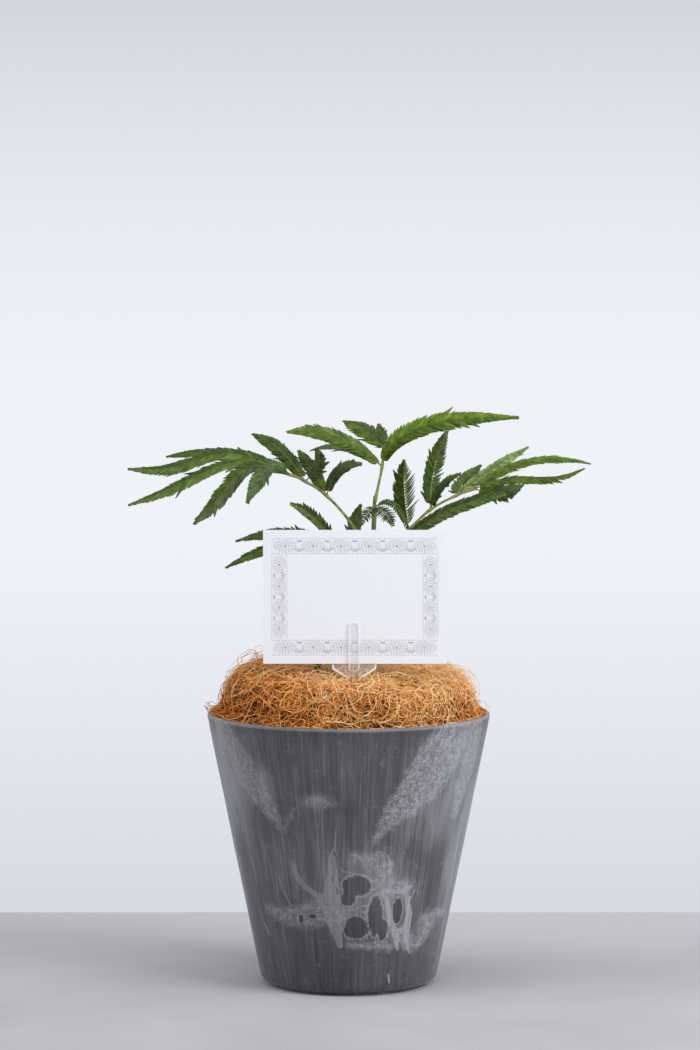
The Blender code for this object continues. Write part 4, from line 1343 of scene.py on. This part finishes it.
pick_low, pick_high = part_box("card_pick")
pick_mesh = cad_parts["card_pick"].data.copy()
pick_shape = bmesh.new()
pick_shape.from_mesh(pick_mesh)
bmesh.ops.remove_doubles(pick_shape, verts=pick_shape.verts, dist=PICK_WELD)
bmesh.ops.dissolve_limit(
    pick_shape, angle_limit=FLAT_BELOW, verts=pick_shape.verts, edges=pick_shape.edges
)
sharp = [e for e in pick_shape.edges if len(e.link_faces) == 2 and e.calc_face_angle() > ROUNDED_ABOVE]
bmesh.ops.bevel(
    pick_shape, geom=sharp, offset=PICK_EDGE, segments=2, profile=0.5, affect="EDGES",
    clamp_overlap=True,
)
bmesh.ops.recalc_face_normals(pick_shape, faces=pick_shape.faces)
pick_shape.to_mesh(pick_mesh)
pick_shape.free()
pick_mesh.shade_smooth()
pick_mesh.set_sharp_from_angle(angle=PICK_SHARP_FROM)
pick_piece = show("card_pick_moulding", pick_mesh, clear_plastic())
# A white bead along the rims of the plate and the tongue, painted as their highlight.
rim_verts, rim_faces = [], []
add_rim(rim_verts, rim_faces, PLATE_RIM, pick_high.y - PLATE_THICKNESS / 2, PLATE_BEAD)
add_rim(rim_verts, rim_faces, TONGUE_RIM, pick_low.y + TONGUE_THICKNESS / 2, TONGUE_BEAD)
rim_piece = show("card_pick_highlight_rim", mesh_of("card_pick_highlight_rim", rim_verts, rim_faces), highlight_rim_plastic())
for piece in (pick_piece, rim_piece):
    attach(piece, "root")
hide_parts("card_pick")


# ------------------------------------------------------------------------------- room
# A pale grey table top that ends a little way behind the planter, a pale room round it, soft lamps
# from above and both sides, and the camera, level with the leaves and looking slightly down.

TABLE_BACK = 0.240
TABLE_SIZE = 3.0
TABLE_THICKNESS = 0.03
ROOM_COLOUR = (0.855, 0.872, 0.92)
ROOM_LIGHT = 0.62
LOOKED_AT = Vector((0, 0, 0.2))
CAMERA_PLACE = (0.0008, -2.4, 0.457)
CAMERA_TILT = math.radians(85.6675)
CAMERA_FRAME = 36
CAMERA_LENS = 138.2

# The wall behind, from just above the table to over the tree: how steeply the eye looks up to each
# end of it, as the upward part of the line of sight, and its colours on the way up, darker towards
# the top and the bottom as painted shade
WALL_LOW = -0.175
WALL_HIGH = 0.055
WALL_COLOURS = [
    (0.03, (0.680, 0.700, 0.755)), (0.20, (0.770, 0.790, 0.844)), (0.42, (0.866, 0.889, 0.938)),
    (0.60, (0.860, 0.883, 0.930)), (0.76, (0.806, 0.827, 0.878)), (0.90, (0.720, 0.740, 0.792)),
    (1.0, (0.640, 0.660, 0.716)),
]


def table_top():
    finish = Finish("table_top", 0.9, {"Specular IOR Level": 0.1})
    near = ramp(grain(finish.place(), 6, 3), [
        (0.35, (0.415, 0.409, 0.425)), (0.65, (0.480, 0.471, 0.486)),
    ])
    depth = node(finish.tree, "ShaderNodeSeparateXYZ", {0: finish.place()}, 1)
    colour = blend(fade(depth, -0.02, 0.22), near, (0.51, 0.508, 0.532))
    return finish.painted(blend(fade(depth, -1.3, -0.45, 1, 0), colour, (0.24, 0.238, 0.25)))


table_low = Vector((-TABLE_SIZE / 2, TABLE_BACK - TABLE_SIZE, -TABLE_THICKNESS))
table_shape = block(table_low, Vector((TABLE_SIZE / 2, TABLE_BACK, 0)))
show("table", mesh_from("table", table_shape), table_top())

world = bpy.data.worlds.new("room")
world.use_nodes = True
bpy.context.scene.world = world
sky = world.node_tree.nodes["Background"]
by_camera = node(world.node_tree, "ShaderNodeLightPath", output="Is Camera Ray")
seen = calc("MAXIMUM", by_camera, by_camera.other("Is Glossy Ray"))
seen = calc("MAXIMUM", seen, by_camera.other("Is Transmission Ray"))
looking = node(world.node_tree, "ShaderNodeTexCoord", output="Generated")
rise = node(world.node_tree, "ShaderNodeSeparateXYZ", {0: looking}, 2)
# Painted shade on the wall, darker towards its top and bottom, seen only by the camera.
wall = ramp((rise - WALL_LOW) * (1 / (WALL_HIGH - WALL_LOW)), WALL_COLOURS)
colour = blend(by_camera, ROOM_COLOUR, wall)
world.node_tree.links.new(colour.socket, sky.inputs["Color"])
world.node_tree.links.new(fade(seen, 0, 1, ROOM_LIGHT, 1).socket, sky.inputs["Strength"])


def lamp(name, place, size, watts, colour=(1, 1, 1)):
    """A square soft lamp that looks at the middle of the tree."""
    light = bpy.data.lights.new(name, "AREA")
    light.shape = "SQUARE"
    light.size = size
    light.energy = watts
    light.color = colour
    stand = bpy.data.objects.new(name, light)
    stand.location = place
    stand.rotation_euler = (LOOKED_AT - Vector(place)).to_track_quat("-Z", "Y").to_euler()
    bpy.context.scene.collection.objects.link(stand)


lamp("window_right", (1.9, -1.3, 1.2), 1.4, 46)
lamp("window_left", (-1.8, -0.5, 0.9), 1.2, 13)
lamp("ceiling", (0.1, -0.6, 2.0), 1.6, 12)

camera = bpy.data.objects.new("camera", bpy.data.cameras.new("camera"))
camera.data.sensor_fit = "VERTICAL"
camera.data.sensor_height = CAMERA_FRAME
camera.data.lens = CAMERA_LENS
camera.location = CAMERA_PLACE
camera.rotation_euler = (CAMERA_TILT, 0, 0)
bpy.context.scene.collection.objects.link(camera)
bpy.context.scene.camera = camera
bpy.context.scene.view_settings.view_transform = "Standard"
